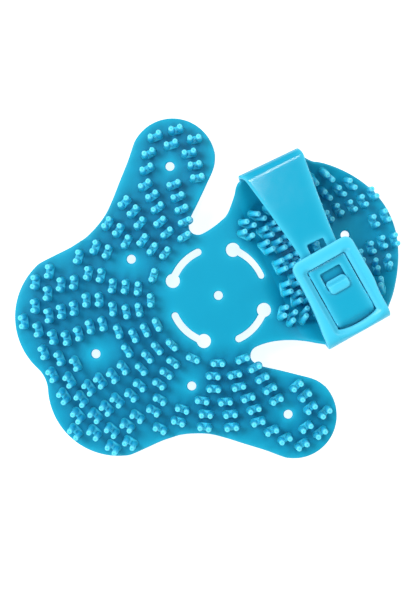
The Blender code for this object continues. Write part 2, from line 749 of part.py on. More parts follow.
def make_frame(mat, pivot, base):
    """The buckle's fold and the thick frame that grows out of it, over the strap."""
    top = FRAME_TOP - base
    radius = (top - BRIDGE / 2.0) / (1.0 + cos(fold_slope(-1)))
    half = (BUCKLE_EDGE_Y[1] - BUCKLE_EDGE_Y[0]) / 2.0
    stations = fold_stations(-1, radius, lambda t: -half, lambda t: half)
    crown = stations[-1][0]
    stations.append((crown + OVERLAP, stations[-1][1], pi / 2.0, -half, half))
    frame = ribbon("buckle_frame", stations, BRIDGE, mat, pivot)
    end = Vector((0.0, half - BEAD_INSET, 0.0))
    combine(frame, bead(-end, end, mat, pivot), "UNION")
    strap_base = STRAP_TOP - STRAP - base
    ring = prism("ring", frame_outline(crown + OVERLAP / 2.0), strap_base, top, mat, pivot)
    combine(frame, ring, "UNION")
    cut_frame(frame, "window", window_outline(), strap_base, top + OVERLAP, mat, pivot)

    # The strap runs under the end bar, and its tip dips under the bowed edge.
    tunnel = rectangle(WINDOW_END - OVERLAP, FRAME_END + OVERLAP, WINDOW_HALF_WIDTH)
    cut_frame(frame, "tunnel", tunnel, strap_base, STRAP_TOP + TUNNEL_ROOM - base, mat, pivot)
    pocket = rectangle(crown - POCKET, POCKET_END, WINDOW_HALF_WIDTH)
    cut_frame(frame, "pocket", pocket, strap_base, top - BRIDGE, mat, pivot)


def cut_frame(frame, name, outline, bottom, top, mat, pivot):
    """Cuts an outline out of the frame, from below its underside up to a height."""
    cutter = prism(name, outline, bottom - OVERLAP, top, mat, pivot)
    combine(frame, cutter, "DIFFERENCE")


def make_strap_tip(mat, pivot, base):
    """The strap's free end in the window, dipping under the buckle's bowed edge."""
    middle = STRAP_TOP - STRAP / 2 - base
    # Along the buckle, depth below the level stretch, direction of the outer face, corner cut.
    dip = [(3.4, 3.2, 140.0, 2.5), (5.2, 1.4, 130.0, 0.8), (7.6, 0.2, 100.0, 0.0)]
    stations = []
    for u, depth, facing, cut in dip:
        reach = TIP_HALF_WIDTH - cut * MM
        stations.append((u * MM, middle - depth * MM, radians(facing), FRAME_MIDDLE_V - reach,
                         FRAME_MIDDLE_V + reach))
    for u in TIP_LEVEL_U:
        stations.append((u, middle, pi / 2.0, FRAME_MIDDLE_V - TIP_HALF_WIDTH,
                         FRAME_MIDDLE_V + TIP_HALF_WIDTH))
    tip = ribbon("strap_tip", stations, STRAP, mat, pivot)
    cut_hole(tip, TIP_HOLE_U, FRAME_MIDDLE_V, TIP_HOLE, middle, mat, pivot)


def make_hook(mat, pivot, base):
    """A floor across the buckle with a hooked block that stands up through the strap's hole."""
    under = STRAP_TOP - STRAP - base - GAP
    foot = STRAP_TOP - base + HOOK_GAP
    floor = rectangle(*HOOK_FLOOR_U, HOOK_FLOOR_HALF_WIDTH)
    hook = prism("hook_plate", floor, under - HOOK_FLOOR, under, mat, pivot)
    post = block_outline(HOOK_POST_U, HOOK_POST)
    combine(hook, prism("post", post, under - OVERLAP, foot + OVERLAP, mat, pivot), "UNION")
    head = block_outline(HOOK_U, HOOK_HEAD)
    combine(hook, prism("head", head, foot, foot + HOOK_HEAD[2], mat, pivot), "UNION")


def block_outline(u, size):
    """A block's outline in the buckle's own axes, on the frame's middle line."""
    return rounded_rectangle(u, FRAME_MIDDLE_V, size[0] / 2, size[1] / 2, HOLE_CORNER)


def main():
    for obj in list(bpy.data.objects):
        bpy.data.objects.remove(obj, do_unlink=True)
    mats = {
        "pad": material("silicone_pad", (0.014, 0.407, 0.604), 0.42),
        "strap": material("silicone_strap", (0.022, 0.445, 0.680), 0.40),
        "buckle": material("silicone_buckle", (0.060, 0.535, 0.760), 0.38),
    }
    pins = all_pins()
    make_pads(mats, pins)
    make_heel(mats, pins)
    make_strap(mats)
    make_buckle(mats)


main()
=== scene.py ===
"""Looks of the grooming glove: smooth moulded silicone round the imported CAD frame.

Every section of the moulding is a rolled-edge sheet, built from its outline in plan and a height
field. Outlines are in metres about the palm's middle hole, +Y to the fingertips.
"""

import json
from math import asin, atan2, cos, degrees, hypot, pi, radians, sin, sqrt, tan

import bmesh
import bpy
import numpy as np
from mathutils import Matrix, Vector
from mathutils.geometry import delaunay_2d_cdt


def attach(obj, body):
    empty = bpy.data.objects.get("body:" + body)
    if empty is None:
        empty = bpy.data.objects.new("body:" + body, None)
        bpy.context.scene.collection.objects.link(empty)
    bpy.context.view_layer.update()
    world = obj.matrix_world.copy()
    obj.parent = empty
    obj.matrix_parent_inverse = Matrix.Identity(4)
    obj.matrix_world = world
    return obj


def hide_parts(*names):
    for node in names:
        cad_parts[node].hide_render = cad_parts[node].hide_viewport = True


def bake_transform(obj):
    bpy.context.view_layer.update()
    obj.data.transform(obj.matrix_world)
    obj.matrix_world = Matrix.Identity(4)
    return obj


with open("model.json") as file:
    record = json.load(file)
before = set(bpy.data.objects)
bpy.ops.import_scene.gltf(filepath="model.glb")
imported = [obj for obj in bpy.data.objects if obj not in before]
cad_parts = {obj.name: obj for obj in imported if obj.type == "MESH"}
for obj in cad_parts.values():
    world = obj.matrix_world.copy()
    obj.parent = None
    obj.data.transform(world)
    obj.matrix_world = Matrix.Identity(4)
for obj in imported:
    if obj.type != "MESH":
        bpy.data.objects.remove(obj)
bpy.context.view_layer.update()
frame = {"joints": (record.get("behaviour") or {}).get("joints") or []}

MM = 0.001

# -------------------- dimensions, as in the CAD

SHEET = 2.2 * MM
JOINTS = {joint["name"]: joint for joint in frame["joints"]}
FINGER_LINE_Y = 61.5 * MM
PALM_Y = JOINTS["finger_flex"]["pos_m"][1] - FINGER_LINE_Y
PALM_Z = JOINTS["finger_flex"]["pos_m"][2] + SHEET / 2
HEEL_LINE_Y = -31.0 * MM

FINGER_LOBE = (20.6 * MM, 69.8 * MM)
FINGER_LOBE_RADIUS = 38.2 * MM
DIP_CENTRE_Y = 120.85 * MM
DIP_RADIUS = 16.85 * MM
SIDE_LOBE = (76.2 * MM, -8.9 * MM)
SIDE_LOBE_RADIUS = 23.2 * MM
NOTCH = (39.0 * MM, -6.3 * MM)
NOTCH_RADIUS = 5.1 * MM
HEEL_CENTRE = (-0.6 * MM, -59.8 * MM)
HEEL_RADIUS = 46.4 * MM

HOLE_RADIUS = 2.4 * MM
PALM_HOLES = [(0.0, 0.0), (38.0 * MM, 34.1 * MM), (-38.0 * MM, 34.1 * MM)]
FINGER_HOLE = (0.0, 73.4 * MM)
SIDE_HOLE = (74.3 * MM, -6.4 * MM)
HEEL_HOLE = (0.0, -78.6 * MM)
SLOT_RING = 25.9 * MM
SLOT_HALF_WIDTH = 1.9 * MM
SLOT_EYE = 3.8 * MM
SLOT_STARTS = (46.8, 136.8, 226.8, 316.8)
SLOT_SWEEP = 47.0

HEEL_DROP = 13.0 * MM
DROP_START_Y = -22.0 * MM
DROP_LENGTH = 30.0 * MM
CURL_FALL = 12.0 * MM
CURL_FALL_LENGTH = 30.0 * MM
FOLD_HEIGHT = 9.0 * MM
BOWL_FLAT = 16.0 * MM
BOWL_WIDTH = 70.0 * MM
STRAP_EDGE_X = 48.6 * MM
STRAP_MIDDLE_Y = -54.0 * MM
BUCKLE_EDGE_X = 45.6 * MM
BUCKLE_EDGE_Y = (-76.6 * MM, -40.0 * MM)
BUCKLE_MIDDLE_Y = -57.9 * MM
BUCKLE_SKEW = radians(3.9)
SETBACK = SHEET / 2 + 0.45 * MM

STRAP = 2.0 * MM
STRAP_TOP = 16.9 * MM
STRAP_NARROW = 10.4 * MM
STRAP_NARROW_Y = -56.8 * MM
STRAP_FLARE = 6.1 * MM
STRAP_FLARE_X = 47.0 * MM
STRAP_FLARE_POWER = 1.2
STRAP_SKEW = 0.049
STRAP_END_X = -6.6 * MM
STRAP_HOLE = (10.0 * MM, 9.4 * MM)
STRAP_HOLE_X = -1.2 * MM
HOLE_CORNER = 1.0 * MM
FRAME_TOP = 19.3 * MM
FRAME_END = 46.3 * MM
FRAME_MIDDLE_V = -1.9 * MM
FRAME_HALF_WIDTH = 17.4 * MM
FRAME_CORNER = 4.5 * MM
WINDOW_START = 2.4 * MM
WINDOW_END = 39.3 * MM
WINDOW_HALF_WIDTH = 11.2 * MM
WINDOW_BOW = 22.0 * MM
BRIDGE = 2.0 * MM

# Bristles: rows of twin pins on rings about the palm, (ring, first angle, step, count).
PIN_PITCH = 4.7 * MM
PIN_HEIGHT = 8.0 * MM
PIN_TO_HOLE = 8.2 * MM
FIRST_RING = 36.6 * MM
RING_STEP = 6.9 * MM
PALM_ROWS = [
    (0, 0.0, 21.3, 5),
    (1, 0.0, 15.2, 7),
    (2, 0.0, 15.4, 7),
    (3, 5.7, 12.5, 8),
    (4, 11.7, 11.7, 9),
    (5, 11.7, 11.7, 9),
    (6, 10.2, 10.2, 4),
    (6, 86.0, 8.9, 3),
    (7, 0.0, 9.8, 4),
    (7, 89.4, 8.7, 3),
    (8, 3.9, 7.4, 5),
    (8, 93.7, 7.4, 2),
    (9, 0.0, 7.4, 5),
    (10, 17.9, 1.0, 1),
]
HEEL_ROWS = [
    (0, 0.0, 20.5, 3),
    (1, 0.0, 14.6, 4),
    (2, 0.0, 13.5, 4),
    (3, 0.0, 11.4, 4),
    (4, 0.0, 10.0, 5),
    (5, 9.6, 9.6, 4),
    (6, 10.2, 9.4, 3),
    (7, 10.0, 8.8, 3),
    (8, 8.2, 7.8, 3),
    (9, 0.0, 7.6, 3),
    (10, 0.0, 8.0, 2),
]

# -------------------- dimensions of the looks

# These three differ from the CAD. Its sides curl up from y = -31.0 to -37.6 mm, and its strap's
# seam ends at -37.6 mm. Here the curl starts further up the palm, and the seam is 1.8 mm longer.
CURL_START_Y = -19.0 * MM
CURL_LENGTH = 16.8 * MM
STRAP_EDGE_Y = (-70.4 * MM, -35.8 * MM)
BOWL_LIMIT = 0.95

# How far out a side section's pins can start.
SIDE_SECTION_X = 38.0 * MM

# The frame slopes down to the strap on three sides of its window.
FRAME_LEAST = 1.8 * MM
SINK = 2.1 * MM
SINK_WIDTH = 3.4 * MM
WINDOW_CORNER = 1.3 * MM

# The strap's end in the window, which dips under the bowed edge.
TIP_START = 3.2 * MM
TIP_EXTRA = 0.35 * MM
TIP_HOLE_U = 29.8 * MM
TIP_HOLE_EXTRA = 2.4 * MM
TIP_DIP = 3.8 * MM
TIP_DIP_START = 2.6 * MM
TIP_DIP_LENGTH = 6.0 * MM

# The floor under the strap's end, and the tongue of the hook.
HOOK_ROOM = 0.3 * MM
HOOK_FLOOR = 2.2 * MM
HOOK_FLOOR_MIDDLE_U = 26.5 * MM
HOOK_FLOOR_HALF = 8.5 * MM
TONGUE_U = 26.0 * MM
TONGUE_HALF = (3.7 * MM, 5.6 * MM)
TONGUE_CORNER = 2.0 * MM
TONGUE_RISE = 2.15 * MM
TONGUE_ROOT_U = 24.9 * MM
TONGUE_NOSE_U = 25.0 * MM
TONGUE_BACK_U = 26.6 * MM
TONGUE_SLOPE = 2.8 * MM

# How far single pins stray, as tangents and as a share of their height.
PIN_STRAY = 0.012
PIN_HEIGHT_STRAY = 0.006
# The left finger lobe's pins lean out, as that lobe droops a little in the photo.
LOBE_LEAN = (-0.12, 0.14, 0.0)
LOBE_LEAN_START = (12.0 * MM, 8.0 * MM)
LOBE_LEAN_LENGTH = 30.0 * MM

# Fineness of the visual meshes.
EDGE_STEP = 0.9 * MM
SLOPE_STEP = 0.05 * MM
RIM = 0.85 * MM
STRAP_RIM = 0.75 * MM
FRAME_RIM = 0.7 * MM
RIM_ANGLES = np.radians([22.5, 45.0, 67.5, 90.0])
RIM_ROWS = list(1.0 - np.cos(RIM_ANGLES))
PIN_SIDES = 14
MOUND_END_POINTS = 9
FRAME_SPACING = 0.9 * MM
STRAP_SPACING = 1.3 * MM
FINE_SPACING = 1.5 * MM
PAD_SPACING = 2.2 * MM
ROW_HEIGHT = 0.866
# How far in from a free edge the painted rim light fades.
EDGE_GLOW = 1.5 * MM


# -------------------- curves in plan


def arc(centre, radius, start, end, steps):
    """Points on an arc, both ends included. Angles are in degrees from +X."""
    angles = np.radians(np.linspace(start, end, steps + 1))
    return [(centre[0] + radius * cos(a), centre[1] + radius * sin(a)) for a in angles]


def hole_loop(centre, radius, steps=36):
    """A round hole, clockwise, so that the material is on its left."""
    return np.array(arc(centre, radius, 360.0, 0.0, steps)[:-1])


def mirrored(points):
    """The same points across the Y axis, in reverse order."""
    return np.array([(-x, y) for x, y in points])[::-1]


def spline(keys, step=EDGE_STEP):
    """A smooth curve through every key. Returns its points and the place of each key."""
    keys = np.array(keys, float)
    padded = np.vstack([2 * keys[0] - keys[1], keys, 2 * keys[-1] - keys[-2]])
    points = []
    places = []
    for i in range(len(keys) - 1):
        a, b, c, d = padded[i:i + 4]
        count = max(1, int(round(np.linalg.norm(c - b) / step)))
        places.append(len(points))
        tangent_b = (c - a) * np.linalg.norm(c - b) / (np.linalg.norm(c - a) + 1e-12)
        tangent_c = (d - b) * np.linalg.norm(c - b) / (np.linalg.norm(d - b) + 1e-12)
        for j in range(count):
            t = j / count
            h = t * t * (3 - 2 * t)
            points.append((1 - h) * b + h * c + t * (1 - t) ** 2 * tangent_b
                          - t * t * (1 - t) * tangent_c)
    places.append(len(points))
    points.append(keys[-1])
    return np.array(points), places


def seam(start, end, step=1.6 * MM):
    """A straight cut between two sections, with points that catch the rolled rims at its ends."""
    start = np.array(start, float)
    end = np.array(end, float)
    length = np.linalg.norm(end - start)
    rims = [RIM * share for share in RIM_ROWS]
    count = max(2, int((length - 2 * RIM) / step))
    inner = list(np.linspace(RIM, length - RIM, count + 1))
    stops = [0.0] + rims[:-1] + inner + [length - r for r in rims[-2::-1]] + [length]
    return np.array([start + (end - start) * s / length for s in stops])


def hooked_slot(start):
    """An arc slot that ends in a round eye, clockwise round its edge."""
    inner = SLOT_RING - SLOT_HALF_WIDTH
    outer = SLOT_RING + SLOT_HALF_WIDTH
    mouth = degrees(sqrt(SLOT_EYE ** 2 - SLOT_HALF_WIDTH ** 2) / SLOT_RING)
    eye = (SLOT_RING * cos(radians(start)), SLOT_RING * sin(radians(start)))
    opening = degrees(asin(SLOT_HALF_WIDTH / SLOT_EYE))
    end = start - SLOT_SWEEP
    tip = (SLOT_RING * cos(radians(end)), SLOT_RING * sin(radians(end)))
    loop = arc(eye, SLOT_EYE, start - 90.0 + opening, start + 270.0 - opening, 26)
    loop += arc((0.0, 0.0), inner, start - mouth, end, 24)[1:]
    loop += arc(tip, SLOT_HALF_WIDTH, end + 180.0, end + 360.0, 10)[1:-1]
    loop += arc((0.0, 0.0), outer, end, start - mouth, 24)[:-1]
    return np.array(loop)[::-1]


def rounded_rectangle(x, y, half_x, half_y, corner, steps=6):
    """A rectangle with round corners, anticlockwise, about (x, y)."""
    loop = []
    for sign_x, sign_y, start in ((1, 1, 0), (-1, 1, 90), (-1, -1, 180), (1, -1, 270)):
        centre = (x + sign_x * (half_x - corner), y + sign_y * (half_y - corner))
        loop += arc(centre, corner, start, start + 90, steps)
    return np.array(loop)


def densify(loop, step=EDGE_STEP):
    """Adds points to the long straight stretches of a closed loop."""
    points = []
    for a, b in zip(loop, np.roll(loop, -1, axis=0)):
        count = max(1, int(round(np.linalg.norm(b - a) / step)))
        points.extend(a + (b - a) * i / count for i in range(count))
    return np.array(points)


# -------------------- outlines of the sections

FINGER_LINE_X = 57.9 * MM
SIDE_TOP = (58.6 * MM, 55.5 * MM)
SIDE_END = (42.2 * MM, -2.35 * MM)
HEEL_LINE_LEFT = (-41.6 * MM, HEEL_LINE_Y)
HEEL_LINE_RIGHT = (45.1 * MM, HEEL_LINE_Y)

# Points of the edge between its arcs.
FINGER_FLANK = (57.7 * MM, 71.5 * MM)
SIDE_FLANK = [(59.3 * MM, 51.0 * MM), (61.6 * MM, 44.5 * MM), (65.4 * MM, 37.0 * MM),
              (70.6 * MM, 30.4 * MM), (78.4 * MM, 22.0 * MM), (87.0 * MM, 12.7 * MM)]
SIDE_RETURN = [(63.6 * MM, -27.6 * MM), (56.6 * MM, -19.6 * MM), (49.6 * MM, -11.0 * MM),
               (44.9 * MM, -5.0 * MM)]
NECK_TOP = (34.3 * MM, -11.4 * MM)
STRAP_NECK_POINTS = [(35.5 * MM, -17.3 * MM), (37.4 * MM, -22.7 * MM), (41.4 * MM, -27.4 * MM)]
BUCKLE_NECK_POINTS = [(35.7 * MM, -17.4 * MM), (39.0 * MM, -25.8 * MM)]
RIGHT_FOOT = (46.0 * MM, -73.0 * MM)
LEFT_WING = (-44.4 * MM, -36.2 * MM)
RIGHT_WING = [(47.0 * MM, -32.3 * MM), (48.2 * MM, -34.0 * MM)]


def outer_edge():
    """The free edge from the dip between the fingers to the side pad's notch, cut at the seams."""
    lobe_end = degrees(atan2(DIP_CENTRE_Y - FINGER_LOBE[1], -FINGER_LOBE[0]))
    keys = arc((0.0, DIP_CENTRE_Y), DIP_RADIUS, -90.0, lobe_end - 180.0, 4)
    keys += arc(FINGER_LOBE, FINGER_LOBE_RADIUS, lobe_end, 16.0, 18)[1:]
    keys += [FINGER_FLANK, (FINGER_LINE_X, FINGER_LINE_Y)]
    finger_end = len(keys) - 1
    keys.append(SIDE_TOP)
    side_start = len(keys) - 1
    keys += SIDE_FLANK
    keys += arc(SIDE_LOBE, SIDE_LOBE_RADIUS, 38.0, -108.0, 18)
    keys += SIDE_RETURN + [SIDE_END]
    points, places = spline(keys)
    first, second = places[finger_end], places[side_start]
    return points[:first + 1], points[first:second + 1], points[second:]


def neck_edge(corners, line_end):
    """The web's edge from the side pad, round the notch, to the end of the heel's flex line."""
    keys = [SIDE_END] + arc(NOTCH, NOTCH_RADIUS, 88.0, 184.0, 7)
    keys += [NECK_TOP] + corners + [line_end]
    return spline(keys)[0]


FINGER_EDGE, WAIST_EDGE, SIDE_EDGE = outer_edge()
STRAP_NECK = neck_edge(STRAP_NECK_POINTS, HEEL_LINE_RIGHT)
BUCKLE_NECK = neck_edge(BUCKLE_NECK_POINTS, (-HEEL_LINE_LEFT[0], HEEL_LINE_Y))


def edge_x(x, y):
    """How far out the folds are, on the strap's side (+X) and the buckle's side (-X)."""
    buckle = BUCKLE_EDGE_X + (y - BUCKLE_MIDDLE_Y) * tan(BUCKLE_SKEW)
    return np.where(np.asarray(x) > 0, STRAP_EDGE_X, buckle)


def heel_borders():
    """The heel's edge, anticlockwise from the left end of its flex line."""
    left_low = (-float(edge_x(-1, BUCKLE_EDGE_Y[0])), BUCKLE_EDGE_Y[0])
    left_high = (-float(edge_x(-1, BUCKLE_EDGE_Y[1])), BUCKLE_EDGE_Y[1])
    right_low = (STRAP_EDGE_X, STRAP_EDGE_Y[0])
    right_high = (STRAP_EDGE_X, STRAP_EDGE_Y[1])
    rim = [right_low, RIGHT_FOOT] + arc(HEEL_CENTRE, HEEL_RADIUS, -22.0, -152.0, 34)
    left_wing = [left_high, LEFT_WING, HEEL_LINE_LEFT]
    right_wing = [HEEL_LINE_RIGHT] + RIGHT_WING + [right_high]
    return [
        (seam(right_high, right_low), True),
        (spline(rim + [left_low])[0], False),
        (seam(left_low, left_high), True),
        (spline(left_wing)[0], False),
        (seam(HEEL_LINE_LEFT, HEEL_LINE_RIGHT), True),
        (spline(right_wing)[0], False),
    ]


def palm_borders():
    """The web's edge, clockwise from the heel's flex line."""
    return [
        (seam(HEEL_LINE_RIGHT, HEEL_LINE_LEFT), True),
        (mirrored(BUCKLE_NECK), False),
        (seam((-SIDE_END[0], SIDE_END[1]), (-SIDE_TOP[0], SIDE_TOP[1])), True),
        (mirrored(WAIST_EDGE), False),
        (seam((-FINGER_LINE_X, FINGER_LINE_Y), (FINGER_LINE_X, FINGER_LINE_Y)), True),
        (WAIST_EDGE, False),
        (seam(SIDE_TOP, SIDE_END), True),
        (STRAP_NECK, False),
    ]


def finger_borders():
    """The finger pad's edge, clockwise from its flex line."""
    return [
        (seam((FINGER_LINE_X, FINGER_LINE_Y), (-FINGER_LINE_X, FINGER_LINE_Y)), True),
        (mirrored(FINGER_EDGE), False),
        (FINGER_EDGE, False),
    ]


def side_borders(side):
    """A side pad's edge, clockwise seen from above."""
    if side > 0:
        return [(SIDE_EDGE, False), (seam(SIDE_END, SIDE_TOP), True)]
    left_top = (-SIDE_TOP[0], SIDE_TOP[1])
    left_end = (-SIDE_END[0], SIDE_END[1])
    return [(mirrored(SIDE_EDGE), False), (seam(left_top, left_end), True)]


# -------------------- the bristled face


def smooth(t):
    """0 up to t = 0 and 1 from t = 1, with a smooth turn between."""
    t = np.clip(t, 0.0, 1.0)
    return t * t * (3.0 - 2.0 * t)


def centre_height(y):
    """Height along the middle line, which drops from the palm to the heel."""
    return -HEEL_DROP * smooth((DROP_START_Y - y) / DROP_LENGTH)


def edge_height(y):
    """Height along the bowl's two sides."""
    rise = smooth((CURL_START_Y - y) / CURL_LENGTH)
    fall = smooth((min(STRAP_EDGE_Y[0], BUCKLE_EDGE_Y[0]) - y) / CURL_FALL_LENGTH)
    return centre_height(y) * (1.0 - rise) + FOLD_HEIGHT * rise - CURL_FALL * fall


def bowl_share(x, y):
    """0 across the heel's flat middle and 1 at its folds, on part of an ellipse."""
    reach = np.abs(x) * STRAP_EDGE_X / edge_x(x, y)
    turned = np.clip((reach - BOWL_FLAT) / (BOWL_WIDTH - BOWL_FLAT), 0.0, BOWL_LIMIT)
    full = (STRAP_EDGE_X - BOWL_FLAT) / (BOWL_WIDTH - BOWL_FLAT)
    return (1.0 - np.sqrt(1.0 - turned ** 2)) / (1.0 - sqrt(1.0 - full ** 2))


def bowl(x, y):
    """Height of the web and the heel, which drops and curls up behind the palm."""
    low = centre_height(y)
    return low + (edge_height(y) - low) * bowl_share(x, y)


def flat(x, y):
    """Height of the finger and side pads."""
    return np.zeros_like(np.asarray(x, float))


def on_face(surface):
    """A placing function for sheet(): plan points to places and normals on a height field."""

    def place(points):
        x, y = points[:, 0], points[:, 1]
        step = SLOPE_STEP
        slope_x = (surface(x + step, y) - surface(x - step, y)) / (2.0 * step)
        slope_y = (surface(x, y + step) - surface(x, y - step)) / (2.0 * step)
        normals = np.stack([-slope_x, -slope_y, np.ones_like(x)], axis=1)
        normals /= np.linalg.norm(normals, axis=1)[:, None]
        places = np.stack([x, y + PALM_Y, surface(x, y) + PALM_Z], axis=1)
        return places, normals

    return place


# -------------------- rolled-edge sheets


def segments_of(lines):
    """Start and end points of every segment of some open polylines."""
    starts = np.vstack([line[:-1] for line in lines])
    ends = np.vstack([line[1:] for line in lines])
    return starts, ends


def distance(points, starts, ends):
    """Distance from each point to the nearest segment."""
    best = np.full(len(points), 1.0)
    way = ends - starts
    lengths = np.maximum((way ** 2).sum(axis=1), 1e-18)
    for first in range(0, len(points), 400):
        block = points[first:first + 400]
        offset = block[:, None, :] - starts[None]
        share = np.clip((offset * way).sum(axis=2) / lengths, 0.0, 1.0)
        gap = offset - share[:, :, None] * way
        best[first:first + 400] = np.sqrt((gap ** 2).sum(axis=2)).min(axis=1)
    return best


def inside(points, loop):
    """Even-odd test of many points against a closed loop."""
    x, y = points[:, 0], points[:, 1]
    result = np.zeros(len(points), bool)
    for (x0, y0), (x1, y1) in zip(loop, np.roll(loop, -1, axis=0)):
        if y0 == y1:
            continue
        across = (y0 > y) != (y1 > y)
        result ^= across & (x < x0 + (y - y0) * (x1 - x0) / (y1 - y0))
    return result


def closed(borders):
    """One closed loop of the borders' points, without the repeated corners."""
    return np.vstack([points[:-1] for points, _ in borders])


def signed_area(loop):
    """Positive for an anticlockwise loop."""
    ahead = np.roll(loop, -1, axis=0)
    return 0.5 * float((loop[:, 0] * ahead[:, 1] - ahead[:, 0] * loop[:, 1]).sum())


def inset(line, distance_in, is_closed):
    """The points of a line moved to its left."""
    if is_closed:
        way = np.roll(line, -1, axis=0) - np.roll(line, 1, axis=0)
    else:
        way = np.gradient(line, axis=0)
    way /= np.linalg.norm(way, axis=1)[:, None] + 1e-15
    return line + distance_in * np.stack([-way[:, 1], way[:, 0]], axis=1)


def fill(borders, holes, spacing, rim):
    """Fills a region with triangles, with close rows of points along its free edges.

    Returns the points, the triangles and each point's distance from the nearest free edge.
    """
    if signed_area(closed(borders)) < 0:
        borders = [(points[::-1], is_seam) for points, is_seam in borders[::-1]]
    outline = closed(borders)
    loops = [outline] + holes
    points = []
    edges = []
    for loop in loops:
        first = len(points)
        points.extend(loop)
        edges.extend((first + i, first + (i + 1) % len(loop)) for i in range(len(loop)))
    free = [line for line, is_seam in borders if not is_seam]
    rings = [np.vstack([hole, hole[:1]]) for hole in holes]
    starts, ends = segments_of(free + rings)
    rows = []
    for share in RIM_ROWS:
        lines = [inset(line, share * rim, False) for line in free]
        lines += [inset(hole, share * rim, True) for hole in holes]
        row = np.vstack(lines)
        rows.append(row[distance(row, starts, ends) > 0.9 * share * rim])
    rows = np.vstack(rows)
    low, high = outline.min(axis=0), outline.max(axis=0)
    grid = []
    for j in range(int((high[1] - low[1]) / (ROW_HEIGHT * spacing)) + 2):
        shift = 0.5 * spacing * (j % 2)
        for i in range(int((high[0] - low[0]) / spacing) + 2):
            grid.append((low[0] + i * spacing + shift, low[1] + j * ROW_HEIGHT * spacing))
    grid = np.array(grid)
    grid = grid[inside(grid, outline)]
    grid = grid[distance(grid, starts, ends) > rim + 0.45 * spacing]
    cuts = [line for line, is_seam in borders if is_seam]
    extra = np.vstack([rows, grid])
    keep = inside(extra, outline)
    for hole in holes:
        keep &= ~inside(extra, hole)
    if cuts:
        keep &= distance(extra, *segments_of(cuts)) > 0.05 * MM
        far = distance(grid, *segments_of(cuts)) > 0.4 * spacing
        keep &= np.concatenate([np.ones(len(rows), bool), far])
    points.extend(extra[keep])
    coords, _, faces, _, _, _ = delaunay_2d_cdt([Vector(p) for p in points], edges, [], 0, 1e-8)
    coords = np.array([tuple(p) for p in coords])
    faces = np.array([tuple(f) for f in faces])
    middles = coords[faces].mean(axis=1)
    kept = inside(middles, outline)
    for hole in holes:
        kept &= ~inside(middles, hole)
    return coords, faces[kept], distance(coords, starts, ends)


def sheet(name, borders, holes, place, spacing, thickness=SHEET, rim=RIM, mat=None):
    """A closed sheet with rolled free edges and square seams.

    place turns plan points into places and normals on its bristled or outer face. thickness is
    one length, or a function of the plan points.
    """
    coords, faces, reach = fill(borders, holes, spacing, rim)
    tops, normals = place(coords)
    depth = thickness(coords) if callable(thickness) else np.full(len(coords), thickness)
    short = np.clip(1.0 - reach / rim, 0.0, 1.0)
    roll = rim * (1.0 - np.sqrt(1.0 - short ** 2))
    face_up = tops - normals * roll[:, None]
    face_down = tops - normals * (depth - roll)[:, None]
    count = len(coords)
    verts = np.vstack([face_up, face_down])
    turned = np.linalg.norm(np.cross(
        face_up[faces[:, 1]] - face_up[faces[:, 0]],
        face_up[faces[:, 2]] - face_up[faces[:, 0]]), axis=1) > 0
    faces = faces[turned]
    sides = np.vstack([faces[:, [0, 1]], faces[:, [1, 2]], faces[:, [2, 0]]])
    known = {tuple(edge) for edge in sides}
    walls = [(b, a, a + count, b + count) for a, b in known if (b, a) not in known]
    polygons = [tuple(f) for f in faces] + [tuple(f) for f in faces[:, ::-1] + count] + walls
    mesh = bpy.data.meshes.new(name)
    mesh.from_pydata([tuple(v) for v in verts], [], [tuple(int(i) for i in p) for p in polygons])
    # Painted light: each point's colour is lightened more the nearer it is to a free edge, as if light
    # shone through the thin rim.
    glow = mesh.attributes.new("edge", "FLOAT", "POINT")
    glow.data.foreach_set("value", np.tile(np.exp(-reach / EDGE_GLOW), 2).astype(np.float32))
    obj = link(name, mesh, mat)
    sharpen(mesh, near_seams(coords, borders))
    return obj


def near_seams(coords, borders):
    """Which plan points lie on a seam."""
    cuts = [line for line, is_seam in borders if is_seam]
    if not cuts:
        return np.zeros(len(coords), bool)
    return distance(coords, *segments_of(cuts)) < 0.002 * MM


def sharpen(mesh, on_seam):
    """Marks a seam's edges sharp, so that both sections shade as one surface."""
    flags = np.concatenate([on_seam, on_seam])
    mesh.shade_smooth()
    walls = set()
    for polygon in mesh.polygons:
        if len(polygon.vertices) == 4 and all(flags[i] for i in polygon.vertices):
            walls.update(polygon.edge_keys)
    sharp = mesh.attributes.new("sharp_edge", "BOOLEAN", "EDGE")
    sharp.data.foreach_set("value", [tuple(sorted(edge.vertices)) in walls for edge in mesh.edges])


def link(name, mesh, mat):
    """Makes an object of a mesh, with its faces turned outwards."""
    bm = bmesh.new()
    bm.from_mesh(mesh)
    bmesh.ops.recalc_face_normals(bm, faces=bm.faces)
    bm.to_mesh(mesh)
    bm.free()
    if mat:
        mesh.materials.append(mat)
    mesh.shade_smooth()
    obj = bpy.data.objects.new(name, mesh)
    bpy.context.scene.collection.objects.link(obj)
    return obj


# -------------------- bristles


def heel_reach(length):
    """Distance from the palm, seen from above, of a ring that keeps its length down the drop."""
    step = 0.2 * MM
    y = 0.0
    travelled = 0.0
    while travelled < length:
        travelled += hypot(step, float(centre_height(-y - step) - centre_height(-y)))
        y += step
    return y


def pair_places():
    """Plan place and ring direction of every twin pin."""
    for rows, sign in ((PALM_ROWS, 1), (HEEL_ROWS, -1)):
        for ring, first, step, count in rows:
            length = FIRST_RING + ring * RING_STEP
            radius = length if sign > 0 else heel_reach(length)
            for i in range(count):
                for angle in {radians(first + i * step), -radians(first + i * step)}:
                    yield (radius * sin(angle), sign * radius * cos(angle),
                           (cos(angle), -sign * sin(angle)))


